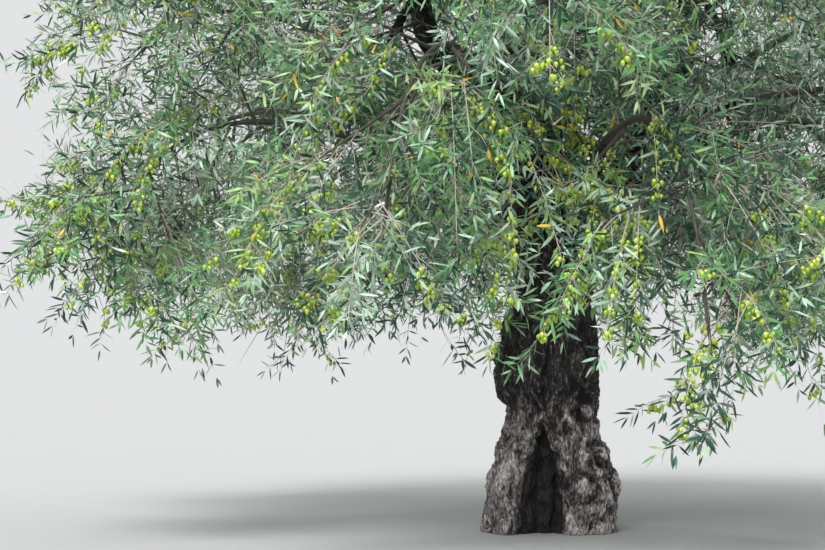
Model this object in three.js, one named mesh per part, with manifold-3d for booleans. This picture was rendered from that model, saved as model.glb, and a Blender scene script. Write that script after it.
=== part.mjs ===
// An old fruiting olive tree: a fluted, hollow trunk with burls, three main boughs, side limbs and
// twenty-five masses of foliage with fruit. Millimetres, +Z up, +X to the right and +Y away from
// the viewer, with the origin at ground level in the middle of the flat cut under the trunk.
import * as THREE from "three";
import { mergeVertices } from "three/addons/utils/BufferGeometryUtils.js";
import Module from "manifold-3d";

const wasm = await Module();
wasm.setup();

const GAP = 0.3; // between two pieces that meet
const UP = new THREE.Vector3(0, 0, 1);
const GOLDEN_ANGLE = THREE.MathUtils.degToRad(137.5);

// The trunk's outline as seen from the front: height, reach to the left and reach to the right.
const TRUNK_OUTLINE = [
  [0, 312, 292],
  [100, 288, 286],
  [190, 281, 295],
  [350, 248, 276],
  [440, 212, 225],
  [525, 189, 216],
  [700, 238, 216],
  [780, 242, 219],
  [910, 210, 216],
  [1040, 160, 193],
  [1160, 156, 188],
  [1280, 168, 186],
  [1400, 168, 186],
];
const TRUNK_HEIGHT = 1375;
const TRUNK_SIDES = 30;
const TRUNK_STEPS = 20;
const TRUNK_DEPTH = 0.93; // front to back, as a share of the width
const CROTCH = { height: 1230, topShare: 0.42 }; // where the trunk starts to round over into its fork

// Root flare lobes, which run on up the trunk as shallow flutes with a slight twist. Each wave is a
// number of lobes round the trunk, where they start in radians and their strength.
const BUTTRESSES = { share: 0.075, fade: 420, atTop: 0.3, twist: 1 / 2600 };
const BUTTRESS_WAVES = [
  [3, 0.6, 1],
  [5, 2.1, 0.8],
  [8, 0, 0.6],
];

// The hollow in the front of the trunk: upright sides that draw together into an arch. Its middle
// at the foot and at the top is a place across the trunk.
const HOLLOW = {
  top: 565,
  depth: 165,
  footMiddle: -57,
  topMiddle: -42,
  halfWidth: 120,
  narrowing: [0.46, 0.96], // of its height, where its sides draw together
  floorShare: 0.72, // of its half width, where the steep sides end
  bevel: 8,
  lipWidth: 32,
  lipRise: 22,
};
// The trunk's points stand nearer together round the hollow's foot.
const HOLLOW_CROWDING = { angle: -101, share: 0.5 };

// Burls and knots: angle round the trunk, height, spread and rise.
const BURLS = [
  [-75, 518, 55, 20],
  [-49, 564, 45, 17],
  [-61, 211, 60, 25],
  [-15, 225, 60, 20],
  [-37, 360, 50, 20],
  [-64, 70, 70, 27],
  [-131, 398, 50, 16],
  [-120, 730, 110, 14],
  [-50, 830, 90, 12],
  [70, 300, 90, 20],
  [130, 620, 110, 22],
  [30, 760, 80, 16],
];

// Main boughs: where each starts inside the trunk and the bends it passes, its thickness,
// and the share of its length that belongs to the trunk's fork.
const BOUGHS = [
  {
    name: "left",
    azimuth: 180,
    bends: [[-45, 0, 1130], [-132, -15, 1570], [-215, -25, 1790], [-370, -35, 2050], [-560, -30, 2290]],
    startRadius: 106,
    forkShare: 0.152,
  },
  {
    name: "right",
    azimuth: 10,
    bends: [[70, -10, 1130], [165, -10, 1360], [290, 0, 1570], [465, 25, 1900], [650, 90, 2240]],
    startRadius: 86,
    forkShare: 0.212,
  },
  {
    name: "back",
    azimuth: 95,
    bends: [[10, 50, 1130], [20, 150, 1400], [5, 330, 1750], [-90, 560, 2250]],
    startRadius: 88,
    forkShare: 0.222,
  },
];
const BOUGH_TIP_RADIUS = 30;
const BOUGH_ARRIVAL = 160; // length over which it takes its mass's heading
const BOUGH_TAPER = 0.85;
const FORK_STEPS = 3;
const BOUGH_SIDES = 8;
const BOUGH_STEPS = 9;

// Side limbs: each leaves its bough at its own station and ends at the foot of its mass.
const LIMB_SIDES = 5;
const LIMB_STEPS = 5;
const LIMB_SHARE = 0.52; // of its bough's radius there
const LIMB_TIP_RADIUS = 19;
const LIMB_TAPER = 0.8;
const LIMB_BEND = { outward: 0.38, rise: 0.16, arrival: 0.3 }; // shares of its span
const LIMB_STATIONS = [0.24, 0.93];

// Masses of foliage stand in rings round the crown's axis, each by turns lower or higher than its ring
// by the stagger. Each pair is a distance from that axis and a height: the middle of a mass's own
// space, its foot, the bend of its stem and the stem's tip.
const RINGS = [
  {
    name: "skirt",
    count: 9,
    firstAzimuth: -75,
    stagger: 110,
    centre: [1800, 1430],
    foot: [900, 1840],
    bend: [1860, 2120],
    tip: [2100, 1330],
    droop: 0.33,
    fruits: 1,
  },
  {
    name: "middle",
    count: 8,
    firstAzimuth: -98,
    stagger: 130,
    centre: [1800, 2480],
    foot: [860, 2300],
    bend: [1620, 2860],
    tip: [2120, 2320],
    droop: 0.34,
    fruits: 1,
  },
  {
    name: "upper",
    count: 6,
    firstAzimuth: 180,
    stagger: 90,
    centre: [1360, 3360],
    foot: [780, 2850],
    bend: [1200, 3380],
    tip: [1660, 3200],
    droop: 0.3,
    fruits: 1,
  },
  {
    name: "top",
    count: 2,
    firstAzimuth: 60,
    stagger: 0,
    centre: [500, 3950],
    foot: [300, 3200],
    bend: [400, 3680],
    tip: [720, 3900],
    droop: 0.22,
    fruits: 1,
  },
];
// How far below the ring's own height each skirt hangs, in turn from the front right.
const SKIRT_HANG = [500, 330, -60, -60, 0, 110, 20, 80, 260];
const AZIMUTH_JITTER = 5; // degrees
const PLACE_JITTER = 55;

// One mass: a stem, twigs round it at the golden angle, and sprays of leaves along each twig.
const STEM_RADII = [19, 9];
const STEM_SIDES = 4;
const STEM_STEPS = 4;
const TWIGS = 9;
const FIRST_TWIG = 0.12; // share of the stem that stays bare
const LEADER_STATION = 0.85; // where the last twig or spray takes over and runs on ahead
const TWIG_SHARE = 0.65; // of the stem's radius where it leaves
const TWIG_SIDES = 3;
const TWIG_LENGTH = [360, 576];
const TWIG_OPENING = [50, 80]; // degrees from the stem
const TWIG_TRIES = [1, 0.82, 0.66, 0.5]; // shares of its length, the first that fits
const TWIG_CLEARANCE = 40; // from a limb
const STATION_JITTER = 0.6; // of one twig's spacing
const TURN_JITTER = 0.5; // radians
const LEADER_SHARE = 0.5; // of a twig's length
const SPRAYS = 8;
const FIRST_SPRAY = 0.26;
const SPRAY_JITTER = 0.5; // of one spray's spacing
const SPRAY_OPENING = [34, 62];
const SPRAY_TURN = 1.6; // radians that it may stray from its side of the twig
const SPRAY_ROLL = 1.4;
const SPRAY_DROOP = 0.5; // of its ring's droop
const SPRAY_LENGTH = [370, 540];
const BLADE_WIDTH = 0.42; // of its length
const BLADE_THICKNESS = 0.026;
const BLADE_WIDEST = 0.4;
const BLADE_CLEARANCE = 22;
const FRUIT_RADIUS = 27;
const FRUIT_LONGER = 1.3;
const FRUIT_HANG = 0.93; // of its half length, below its twig's middle line
const FRUIT_STATIONS = [0.5, 0.8];
const FRUIT_CLEARANCE = 15;
const MOST_ADDED = 18; // triangles: a blade that cuts through its neighbours adds more, and is left out
const CELL_MARGIN = 7;

// The crown's own limits, past which nothing grows.
const CROWN = { middle: 1950, reach: 2680, rise: 2440, drop: 1640, power: 2.4 };

const BARK = { color: "#5a5047", roughness: 0.95, metalness: 0 };
const LIMB_BARK = { color: "#6b6257", roughness: 0.9, metalness: 0 };
const LEAF = { color: "#5d7a5c", roughness: 0.55, metalness: 0 };

const RANDOM = { factor: 48271, modulus: 2147483647, stride: 7919, start: 104729 };

// The same numbers each time for a seed, between 0 and 1.
function seededRandom(seed) {
  let state = seed * RANDOM.stride + RANDOM.start;
  const draw = () => {
    state = (state * RANDOM.factor) % RANDOM.modulus;
    return state / RANDOM.modulus;
  };
  draw();
  return draw;
}

function between(range, share) {
  return range[0] + (range[1] - range[0]) * share;
}

function smoothStep(low, high, value) {
  return THREE.MathUtils.smoothstep(value, low, high);
}

// A vector from pairs of the crown's ring: distance from the axis, height and azimuth in radians.
function ringPoint([distance, height], azimuth) {
  return new THREE.Vector3(Math.cos(azimuth) * distance, Math.sin(azimuth) * distance, height);
}

// Two directions across a line: the first is level, the second is square to both.
function acrossOf(direction, chord) {
  const level = new THREE.Vector3().crossVectors(chord, UP);
  if (level.length() < 0.05 * chord.length()) level.set(1, 0, 0);
  level.addScaledVector(direction, -level.dot(direction)).normalize();
  return [level, new THREE.Vector3().crossVectors(direction, level)];
}

// A closed geometry as a solid, each of its points moved to where place says.
function shapedSolid(geometry, place) {
  geometry.deleteAttribute("normal");
  geometry.deleteAttribute("uv");
  const closed = mergeVertices(geometry);
  const positions = closed.attributes.position;
  const point = new THREE.Vector3();
  for (let i = 0; i < positions.count; i += 1) {
    point.fromBufferAttribute(positions, i);
    positions.setXYZ(i, ...place(point));
  }
  const mesh = new wasm.Mesh({
    numProp: 3,
    vertProperties: positions.array,
    triVerts: new Uint32Array(closed.index.array),
  });
  return new wasm.Manifold(mesh);
}

// A round limb along part of a curve. A pointed one tapers evenly to nothing.
function limbSolid({ curve, from = 0, to = 1, radiusAt, sides, steps, pointed = false }) {
  const chord = curve.getPoint(1).sub(curve.getPoint(0));
  const rod = new THREE.CylinderGeometry(pointed ? 0 : 1, 1, 1, sides, steps);
  return shapedSolid(rod, (point) => {
    const along = from + (to - from) * (point.y + 0.5);
    const direction = curve.getTangent(along);
    const [level, square] = acrossOf(direction, chord);
    const radius = radiusAt(along);
    return curve
      .getPoint(along)
      .addScaledVector(square, point.x * radius)
      .addScaledVector(level, point.z * radius);
  });
}

// Trunk

// The trunk's middle line and half width at a height, from its outline.
function trunkSection(height) {
  const last = TRUNK_OUTLINE.length - 1;
  let row = TRUNK_OUTLINE.findIndex(([stationHeight]) => stationHeight > height);
  if (row < 1) row = row < 0 ? last : 1;
  const [low, high] = [TRUNK_OUTLINE[row - 1], TRUNK_OUTLINE[row]];
  const share = smoothStep(low[0], high[0], height);
  const left = between([low[1], high[1]], share);
  const right = between([low[2], high[2]], share);
  return { middle: (right - left) / 2, half: (right + left) / 2 };
}

// How the trunk's surface at an angle and a height differs from its plain oval, which lies so far
// across the trunk there.
function trunkRelief(angle, height, half, across) {
  const flare = Math.exp(-height / BUTTRESSES.fade) + BUTTRESSES.atTop;
  const turned = angle + height * BUTTRESSES.twist;
  let lobes = 0;
  for (const [count, start, strength] of BUTTRESS_WAVES) {
    lobes += strength * Math.cos(count * turned + start);
  }
  const frontAndBack = 1 - 0.8 * Math.cos(angle) ** 2; // the outline stays as given at the sides
  let relief = BUTTRESSES.share * half * flare * lobes * frontAndBack;
  for (const [burlAngle, burlHeight, spread, rise] of BURLS) {
    const sideways = half * angleBetween(angle, burlAngle);
    const distance = Math.hypot(sideways, height - burlHeight) / spread;
    relief += rise * Math.exp(-distance * distance);
  }
  const share = height / HOLLOW.top;
  if (height > 0 && share < 1 && Math.sin(angle) < 0) {
    const aside = Math.abs(across - between([HOLLOW.footMiddle, HOLLOW.topMiddle], share));
    const halfWidth = HOLLOW.halfWidth * (1 - smoothStep(...HOLLOW.narrowing, share));
    const inside = 1 - smoothStep(halfWidth * HOLLOW.floorShare, halfWidth + HOLLOW.bevel, aside);
    const pastLip = (aside - halfWidth - HOLLOW.lipWidth) / HOLLOW.lipWidth;
    relief -= HOLLOW.depth * (1 - share ** 3) * inside;
    relief += HOLLOW.lipRise * (1 - share ** 3) * Math.exp(-(pastLip ** 2));
  }
  return relief;
}

// The angle in radians from a place in degrees, the short way round.
function angleBetween(angle, degrees) {
  const turn = angle - THREE.MathUtils.degToRad(degrees);
  return Math.atan2(Math.sin(turn), Math.cos(turn));
}

function trunkPoint(point) {
  const height = TRUNK_HEIGHT * (point.y + 0.5);
  const plainAngle = Math.atan2(-point.z, point.x);
  const crowded = angleBetween(plainAngle, HOLLOW_CROWDING.angle);
  const angle = plainAngle - HOLLOW_CROWDING.share * Math.sin(crowded);
  const { middle, half } = trunkSection(height);
  const depth = half * TRUNK_DEPTH;
  const oval = 1 / Math.hypot(Math.cos(angle) / half, Math.sin(angle) / depth);
  const rounding = Math.max(0, (height - CROTCH.height) / (TRUNK_HEIGHT - CROTCH.height));
  const closing = 1 - (1 - CROTCH.topShare) * rounding ** 2;
  const across = middle + Math.cos(angle) * oval;
  const radius = (oval + trunkRelief(angle, height, half, across)) * closing * Math.hypot(point.x, point.z);
  return [middle + Math.cos(angle) * radius, Math.sin(angle) * radius, height];
}

function trunkSolid(boughs) {
  let solid = shapedSolid(new THREE.CylinderGeometry(1, 1, 1, TRUNK_SIDES, TRUNK_STEPS), trunkPoint);
  for (const bough of boughs) {
    solid = solid.add(
      limbSolid({ ...bough, from: 0, to: bough.forkShare, sides: BOUGH_SIDES, steps: FORK_STEPS }),
    );
  }
  return solid;
}

// Boughs and limbs

// The share of a curve that one gap takes up.
function gapShare(curve) {
  return GAP / curve.getLength();
}

function makeBough(spec, mass) {
  const points = spec.bends.map((bend) => new THREE.Vector3(...bend));
  points.push(mass.foot.clone().addScaledVector(mass.heading, -BOUGH_ARRIVAL));
  points.push(mass.foot.clone());
  const curve = new THREE.CatmullRomCurve3(points, false, "centripetal");
  const radiusAt = (along) => between([spec.startRadius, BOUGH_TIP_RADIUS], along ** BOUGH_TAPER);
  return { ...spec, curve, radiusAt, node: "bough_" + spec.name, mass };
}

function boughSolid(bough) {
  const from = bough.forkShare + gapShare(bough.curve);
  return limbSolid({ ...bough, from, sides: BOUGH_SIDES, steps: BOUGH_STEPS });
}

// A side limb from a station on a bough to the foot of a mass, on one smooth bend.
function makeLimb(bough, station, mass) {
  const start = bough.curve.getPoint(station);
  const span = mass.foot.distanceTo(start);
  const outward = mass.foot.clone().sub(start).setZ(0).normalize();
  const leaving = start.clone().addScaledVector(outward, LIMB_BEND.outward * span);
  leaving.addScaledVector(UP, LIMB_BEND.rise * span);
  const arriving = mass.foot.clone().addScaledVector(mass.heading, -LIMB_BEND.arrival * span);
  const curve = new THREE.CubicBezierCurve3(start, leaving, arriving, mass.foot.clone());
  const startRadius = bough.radiusAt(station) * LIMB_SHARE;
  const radiusAt = (along) => between([startRadius, LIMB_TIP_RADIUS], along ** LIMB_TAPER);
  return { curve, radiusAt, node: "limb_" + mass.name, bough, mass };
}

// The limb's foot is cut to its bough's surface, one gap clear of it.
function sideLimbSolid(limb) {
  const { bough } = limb;
  const clear = GAP / Math.cos(Math.PI / BOUGH_SIDES);
  const from = bough.forkShare;
  const wider = limbSolid({
    ...bough,
    from,
    radiusAt: (along) => bough.radiusAt(along) + clear,
    sides: BOUGH_SIDES,
    steps: BOUGH_STEPS,
  });
  return limbSolid({ ...limb, sides: LIMB_SIDES, steps: LIMB_STEPS }).subtract(wider);
}

// Masses of foliage

function makeMasses() {
  const masses = [];
  for (const ring of RINGS) {
    for (let k = 0; k < ring.count; k += 1) {
      const random = seededRandom(masses.length + 1);
      const turn = (360 / ring.count) * k + AZIMUTH_JITTER * (2 * random() - 1);
      const azimuth = THREE.MathUtils.degToRad(ring.firstAzimuth - turn);
      const shift = PLACE_JITTER * (2 * random() - 1);
      const lift = PLACE_JITTER * (2 * random() - 1) + ring.stagger * (k % 2 === 0 ? -1 : 1);
      const hang = ring.name === "skirt" ? SKIRT_HANG[k] : 0;
      const place = ([distance, height]) => ringPoint([distance + shift, height + lift], azimuth);
      const foot = place(ring.foot);
      const bend = place(ring.bend);
      const tip = place(ring.tip).addScaledVector(UP, -hang);
      masses.push({
        name: ring.name + "_" + (k + 1),
        ring,
        azimuth,
        centre: place(ring.centre).addScaledVector(UP, -hang / 3),
        foot,
        heading: bend.clone().sub(foot).normalize(),
        stem: new THREE.QuadraticBezierCurve3(foot, bend, tip),
        random,
      });
    }
  }
  return masses;
}

// A mass keeps to the points that lie nearer to its own centre than to any other, less a margin.
function inOwnSpace(point, mass, masses, margin) {
  return masses.every((other) => {
    if (other === mass) return true;
    const apart = other.centre.distanceTo(mass.centre);
    const nearer = point.distanceToSquared(other.centre) - point.distanceToSquared(mass.centre);
    return nearer / (2 * apart) > margin;
  });
}

function inCrown(point) {
  const height = point.z - CROWN.middle;
  const across = Math.hypot(point.x, point.y) / CROWN.reach;
  const up = Math.abs(height) / (height > 0 ? CROWN.rise : CROWN.drop);
  return across ** CROWN.power + up ** CROWN.power < 1;
}

// Whether points along a line stay clear of every bough and limb.
function clearOfLimbs(points, clearance, limbs) {
  const nearest = new THREE.Vector3();
  return points.every((point) =>
    limbs.every(({ lines }) =>
      lines.every(({ line, radius }) => {
        line.closestPointToPoint(point, true, nearest);
        return nearest.distanceTo(point) > radius + clearance;
      }),
    ),
  );
}

// A limb as straight lines, each with its radius, for the test above.
function limbLines(limb) {
  const lines = [];
  for (let i = 0; i < LIMB_STEPS; i += 1) {
    const line = new THREE.Line3(
      limb.curve.getPoint(i / LIMB_STEPS),
      limb.curve.getPoint((i + 1) / LIMB_STEPS),
    );
    lines.push({ line, radius: limb.radiusAt(i / LIMB_STEPS) });
  }
  return { lines };
}

// A direction that opens from a line by an angle, turned round it.
function openedFrom(direction, chord, opening, turn) {
  const [level, square] = acrossOf(direction, chord);
  const around = level.multiplyScalar(Math.cos(turn)).addScaledVector(square, Math.sin(turn));
  return direction.clone().multiplyScalar(Math.cos(opening)).addScaledVector(around, Math.sin(opening));
}

// A point of a limb's middle line as it is built, on the straight steps of its curve.
function onSteps(curve, steps, along) {
  const step = Math.min(Math.floor(along * steps), steps - 1);
  const low = curve.getPoint(step / steps);
  return low.lerp(curve.getPoint((step + 1) / steps), along * steps - step);
}

function stemRadius(along) {
  return between(STEM_RADII, along);
}

// The twigs of a mass, each leaning down a little, shortened until it fits its space.
function growTwigs(mass, masses, limbs) {
  const { stem, random, ring } = mass;
  const chord = stem.v2.clone().sub(stem.v0);
  const twigs = [];
  for (let k = 0; k < TWIGS; k += 1) {
    const station = FIRST_TWIG + (1 - FIRST_TWIG) * ((k + STATION_JITTER * random()) / TWIGS);
    const opening = THREE.MathUtils.degToRad(between(TWIG_OPENING, random()));
    const turn = GOLDEN_ANGLE * k + TURN_JITTER * random();
    const isLeader = k === TWIGS - 1;
    const fullLength = between(TWIG_LENGTH, random()) * (isLeader ? LEADER_SHARE : 1);
    const place = isLeader ? LEADER_STATION : station;
    const root = onSteps(stem, STEM_STEPS, place);
    const direction = stem.getTangent(place);
    const heading = isLeader ? direction : openedFrom(direction, chord, opening, turn);
    const radius = TWIG_SHARE * stemRadius(place);
    for (const share of TWIG_TRIES) {
      const length = fullLength * share;
      const end = root.clone().addScaledVector(heading, length);
      end.addScaledVector(UP, -ring.droop * length * (1 - Math.abs(heading.z) / 2));
      const curve = new THREE.LineCurve3(root, end);
      const fits = inCrown(end) && inOwnSpace(end, mass, masses, radius + CELL_MARGIN);
      if (fits && clearOfLimbs(curve.getPoints(9).slice(1), radius + TWIG_CLEARANCE, limbs)) {
        twigs.push(Object.assign(curve, { radius }));
        break;
      }
    }
  }
  return twigs;
}

// A spray of leaves as one flat blade, which gives the place of a point along and across it.
function makeSpray(root, heading, length, roll) {
  const [level, square] = acrossOf(heading, heading);
  const wide = level.clone().multiplyScalar(Math.cos(roll)).addScaledVector(square, Math.sin(roll));
  const thick = new THREE.Vector3().crossVectors(heading, wide);
  const place = (along, sideways, faceways) => {
    const point = root.clone().addScaledVector(heading, along);
    return point.addScaledVector(wide, sideways).addScaledVector(thick, faceways);
  };
  return { length, place };
}

function sprayPoint(spray, point) {
  const { length, place } = spray;
  if (point.y < -0.5) return place(0, 0, 0);
  if (point.y > 0.5) return place(length, 0, 0);
  const halfWidth = (length * BLADE_WIDTH) / 2;
  const halfThickness = (length * BLADE_THICKNESS) / 2;
  return place(length * BLADE_WIDEST, point.x * halfWidth, -point.z * halfThickness);
}

// The sprays of a twig, by turns to either side, and one at its tip.
function growSprays(twig, mass) {
  const { random } = mass;
  const direction = twig.v2.clone().sub(twig.v1).normalize();
  const sprays = [];
  for (let k = 0; k < SPRAYS; k += 1) {
    const isTip = k === SPRAYS - 1;
    const jitter = isTip ? 0 : SPRAY_JITTER * random();
    const station = isTip ? LEADER_STATION : between([FIRST_SPRAY, 1], (k + jitter) / SPRAYS);
    const opening = THREE.MathUtils.degToRad(between(SPRAY_OPENING, random()));
    const turn = Math.PI * (k % 2) + SPRAY_TURN * (random() - 0.5);
    const length = between(SPRAY_LENGTH, random());
    const roll = SPRAY_ROLL * (random() - 0.5);
    const heading = isTip ? direction.clone() : openedFrom(direction, direction, opening, turn);
    heading.addScaledVector(UP, -SPRAY_DROOP * mass.ring.droop).normalize();
    const root = twig.getPoint(station);
    sprays.push(makeSpray(root, heading, length, roll));
  }
  return sprays;
}

function sprayFits(spray, mass, masses, limbs) {
  const half = spray.length * BLADE_WIDEST;
  const edge = (spray.length * BLADE_WIDTH) / 2;
  const corners = [
    spray.place(0, 0, 0),
    spray.place(spray.length, 0, 0),
    spray.place(half, edge, 0),
    spray.place(half, -edge, 0),
  ];
  const middleLine = new THREE.LineCurve3(corners[0], corners[1]).getPoints(5);
  const margin = CELL_MARGIN + (spray.length * BLADE_THICKNESS) / 2;
  return (
    corners.every((corner) => inCrown(corner) && inOwnSpace(corner, mass, masses, margin)) &&
    clearOfLimbs(middleLine, edge + BLADE_CLEARANCE, limbs)
  );
}

// A fruit hangs from its root point, where its top is sunk in the twig.
function fruitSolid(root) {
  return shapedSolid(new THREE.SphereGeometry(FRUIT_RADIUS, 5, 3), (point) => [
    root.x + point.x,
    root.y - point.z,
    root.z + (point.y - FRUIT_HANG * FRUIT_RADIUS) * FRUIT_LONGER,
  ]);
}

// The stem of a mass and its twigs.
function woodSolid(mass, twigs) {
  const { stem } = mass;
  const from = gapShare(stem);
  let solid = limbSolid({ curve: stem, from, radiusAt: stemRadius, sides: STEM_SIDES, steps: STEM_STEPS });
  for (const curve of twigs) {
    const radiusAt = () => curve.radius;
    solid = solid.add(limbSolid({ curve, radiusAt, sides: TWIG_SIDES, steps: 1, pointed: true }));
  }
  return solid;
}

// A fruit hangs under its twig, where there is room.
function fruitFits(root, mass, masses, limbs) {
  const foot = root.clone().addScaledVector(UP, -2 * FRUIT_RADIUS * FRUIT_LONGER);
  return (
    inOwnSpace(foot, mass, masses, FRUIT_RADIUS + CELL_MARGIN) &&
    clearOfLimbs([root, foot], FRUIT_RADIUS + FRUIT_CLEARANCE, limbs)
  );
}

// Everything in one mass, fused to one solid round its stem.
function foliageSolid(mass, masses, limbs) {
  const { random, ring } = mass;
  const twigs = growTwigs(mass, masses, limbs);
  const sprays = twigs.flatMap((twig) => growSprays(twig, mass));
  let solid = woodSolid(mass, twigs);
  const fruitRoots = twigs.map((twig) => twig.getPoint(between(FRUIT_STATIONS, random())));
  const hanging = fruitRoots.filter((root) => fruitFits(root, mass, masses, limbs));
  for (const root of hanging.slice(0, ring.fruits)) {
    solid = solid.add(fruitSolid(root));
  }
  for (const spray of sprays.filter((each) => sprayFits(each, mass, masses, limbs))) {
    const blade = shapedSolid(new THREE.OctahedronGeometry(1), (point) => sprayPoint(spray, point));
    const joined = solid.add(blade);
    if (joined.numTri() - solid.numTri() <= MOST_ADDED) solid = joined;
  }
  return solid;
}

// The tree

// A named mesh of a solid, with its own origin at its foot.
function addPart(group, name, solid, finish, foot) {
  const { vertProperties, triVerts } = solid.getMesh();
  const geometry = new THREE.BufferGeometry();
  geometry.setAttribute("position", new THREE.BufferAttribute(vertProperties, 3));
  geometry.setIndex(new THREE.BufferAttribute(triVerts, 1));
  geometry.translate(-foot.x, -foot.y, -foot.z);
  geometry.computeVertexNormals();
  const mesh = new THREE.Mesh(geometry, new THREE.MeshStandardMaterial({ ...finish, flatShading: true }));
  mesh.name = name;
  mesh.position.copy(foot);
  group.add(mesh);
}

// The mass that a bough runs into: the nearest in azimuth among the upper ones.
function massAbove(azimuth, masses) {
  const upper = masses.filter((mass) => mass.ring.name === "upper");
  const off = (mass) => Math.abs(angleBetween(mass.azimuth, azimuth));
  return upper.reduce((best, mass) => (off(mass) < off(best) ? mass : best));
}

// Each other mass gets a limb from the bough nearest to it in azimuth, low masses from low stations.
function makeLimbs(boughs, masses) {
  const carried = boughs.map((bough) => bough.mass);
  const waiting = masses.filter((mass) => !carried.includes(mass));
  const nearestBough = (mass) => {
    const off = (bough) => Math.abs(angleBetween(mass.azimuth, bough.azimuth));
    return boughs.reduce((best, bough) => (off(bough) < off(best) ? bough : best));
  };
  return boughs.flatMap((bough) => {
    const own = waiting.filter((mass) => nearestBough(mass) === bough);
    return own.map((mass, k) => {
      const station = between(LIMB_STATIONS, k / (own.length - 1));
      return makeLimb(bough, station, mass);
    });
  });
}

const masses = makeMasses();
const boughs = BOUGHS.map((spec) => makeBough(spec, massAbove(spec.azimuth, masses)));
const limbs = makeLimbs(boughs, masses);
const obstacles = [...boughs, ...limbs].map(limbLines);

const tree = new THREE.Group();
addPart(tree, "trunk", trunkSolid(boughs), BARK, new THREE.Vector3());
for (const bough of boughs) {
  addPart(tree, bough.node, boughSolid(bough), LIMB_BARK, bough.curve.getPoint(bough.forkShare));
}
for (const limb of limbs) {
  addPart(tree, limb.node, sideLimbSolid(limb), LIMB_BARK, limb.curve.getPoint(0));
}
for (const mass of masses) {
  addPart(tree, "foliage_" + mass.name, foliageSolid(mass, masses, obstacles), LEAF, mass.foot);
}

export default tree;
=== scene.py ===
"""The looks of an old fruiting olive tree. Its limbs, twigs and sprays stand where the solids have them,
grown by the same seeded rule, and are carried on here to shoots, leaves and olives. Metres, +Z up, +X to
the right, +Y away from the viewer."""

import functools
import math

import bpy
import numpy as np
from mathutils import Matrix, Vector, kdtree, noise


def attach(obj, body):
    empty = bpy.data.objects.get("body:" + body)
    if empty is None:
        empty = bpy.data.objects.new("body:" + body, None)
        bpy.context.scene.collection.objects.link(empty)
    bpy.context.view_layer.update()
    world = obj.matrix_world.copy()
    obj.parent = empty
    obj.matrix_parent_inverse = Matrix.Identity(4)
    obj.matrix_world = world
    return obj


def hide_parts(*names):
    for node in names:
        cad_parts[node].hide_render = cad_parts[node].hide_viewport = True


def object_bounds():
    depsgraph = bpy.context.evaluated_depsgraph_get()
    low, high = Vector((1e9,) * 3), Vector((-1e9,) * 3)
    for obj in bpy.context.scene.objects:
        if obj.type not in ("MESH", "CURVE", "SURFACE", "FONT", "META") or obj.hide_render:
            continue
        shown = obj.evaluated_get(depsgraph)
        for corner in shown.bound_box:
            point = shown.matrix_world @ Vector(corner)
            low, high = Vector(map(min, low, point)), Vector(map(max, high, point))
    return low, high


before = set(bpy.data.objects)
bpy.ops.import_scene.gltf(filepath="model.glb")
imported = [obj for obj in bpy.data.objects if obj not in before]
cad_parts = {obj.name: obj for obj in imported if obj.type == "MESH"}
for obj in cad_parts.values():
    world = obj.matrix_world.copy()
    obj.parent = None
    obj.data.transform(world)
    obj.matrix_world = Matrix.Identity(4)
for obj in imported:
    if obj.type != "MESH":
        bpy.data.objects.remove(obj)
cad_low, cad_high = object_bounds()

UP = np.array([0.0, 0.0, 1.0])
GOLDEN_ANGLE = math.radians(137.5)
TURN = 2 * math.pi
NEARLY_UPRIGHT = 0.05  # how level a line may be, as a share of its length, to be taken as upright

# The trunk's outline as seen from the front: height, reach to the left and reach to the right.
TRUNK_OUTLINE = np.array([
    [0, 0.312, 0.292],
    [0.1, 0.288, 0.286],
    [0.19, 0.281, 0.295],
    [0.35, 0.248, 0.276],
    [0.44, 0.212, 0.225],
    [0.525, 0.189, 0.216],
    [0.7, 0.238, 0.216],
    [0.78, 0.242, 0.219],
    [0.91, 0.21, 0.216],
    [1.04, 0.16, 0.193],
    [1.16, 0.156, 0.188],
    [1.28, 0.168, 0.186],
    [1.4, 0.168, 0.186],
])
TRUNK_HEIGHT = 1.375
TRUNK_DEPTH = 0.93  # front to back, as a share of the width
CROTCH_HEIGHT = 1.23
CROTCH_TOP_SHARE = 0.42

# Root flare lobes: the number round the trunk, where they start in radians and their strength.
BUTTRESS_WAVES = [(3, 0.6, 1), (5, 2.1, 0.8), (8, 0, 0.6)]
BUTTRESS_SHARE = 0.075
BUTTRESS_FADE = 0.42
BUTTRESS_AT_TOP = 0.3
BUTTRESS_TWIST = 1 / 2.6
BUTTRESS_LOST_AT_SIDES = 0.8

# The hollow in the front of the trunk: upright sides that draw together into an arch. Its middle, at the
# foot and at the top, is a place across the trunk.
HOLLOW_TOP = 0.565
HOLLOW_DEPTH = 0.165
HOLLOW_MIDDLES = (-0.057, -0.042)
HOLLOW_HALF_WIDTH = 0.13
HOLLOW_NARROWING = (0.42, 0.9)  # of its height, where its sides draw together
HOLLOW_FLOOR_SHARE = 0.72  # of its half width, where the steep sides end
HOLLOW_BEVEL = 0.008
HOLLOW_LIP_WIDTH = 0.032
HOLLOW_LIP_RISE = 0.022
HOLE_SHADE_DARKNESS = 0.93  # how near to charcoal black its wood is painted, as shade

# Burls and knots: angle round the trunk in degrees, height, spread and rise.
BURLS = [
    (-75, 0.518, 0.055, 0.02),
    (-49, 0.564, 0.045, 0.017),
    (-61, 0.211, 0.06, 0.025),
    (-15, 0.225, 0.06, 0.02),
    (-37, 0.36, 0.05, 0.02),
    (-64, 0.07, 0.07, 0.027),
    (-131, 0.398, 0.05, 0.016),
    (-120, 0.73, 0.11, 0.014),
    (-50, 0.83, 0.09, 0.012),
    (70, 0.3, 0.09, 0.02),
    (130, 0.62, 0.11, 0.022),
    (30, 0.76, 0.08, 0.016),
]

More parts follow.
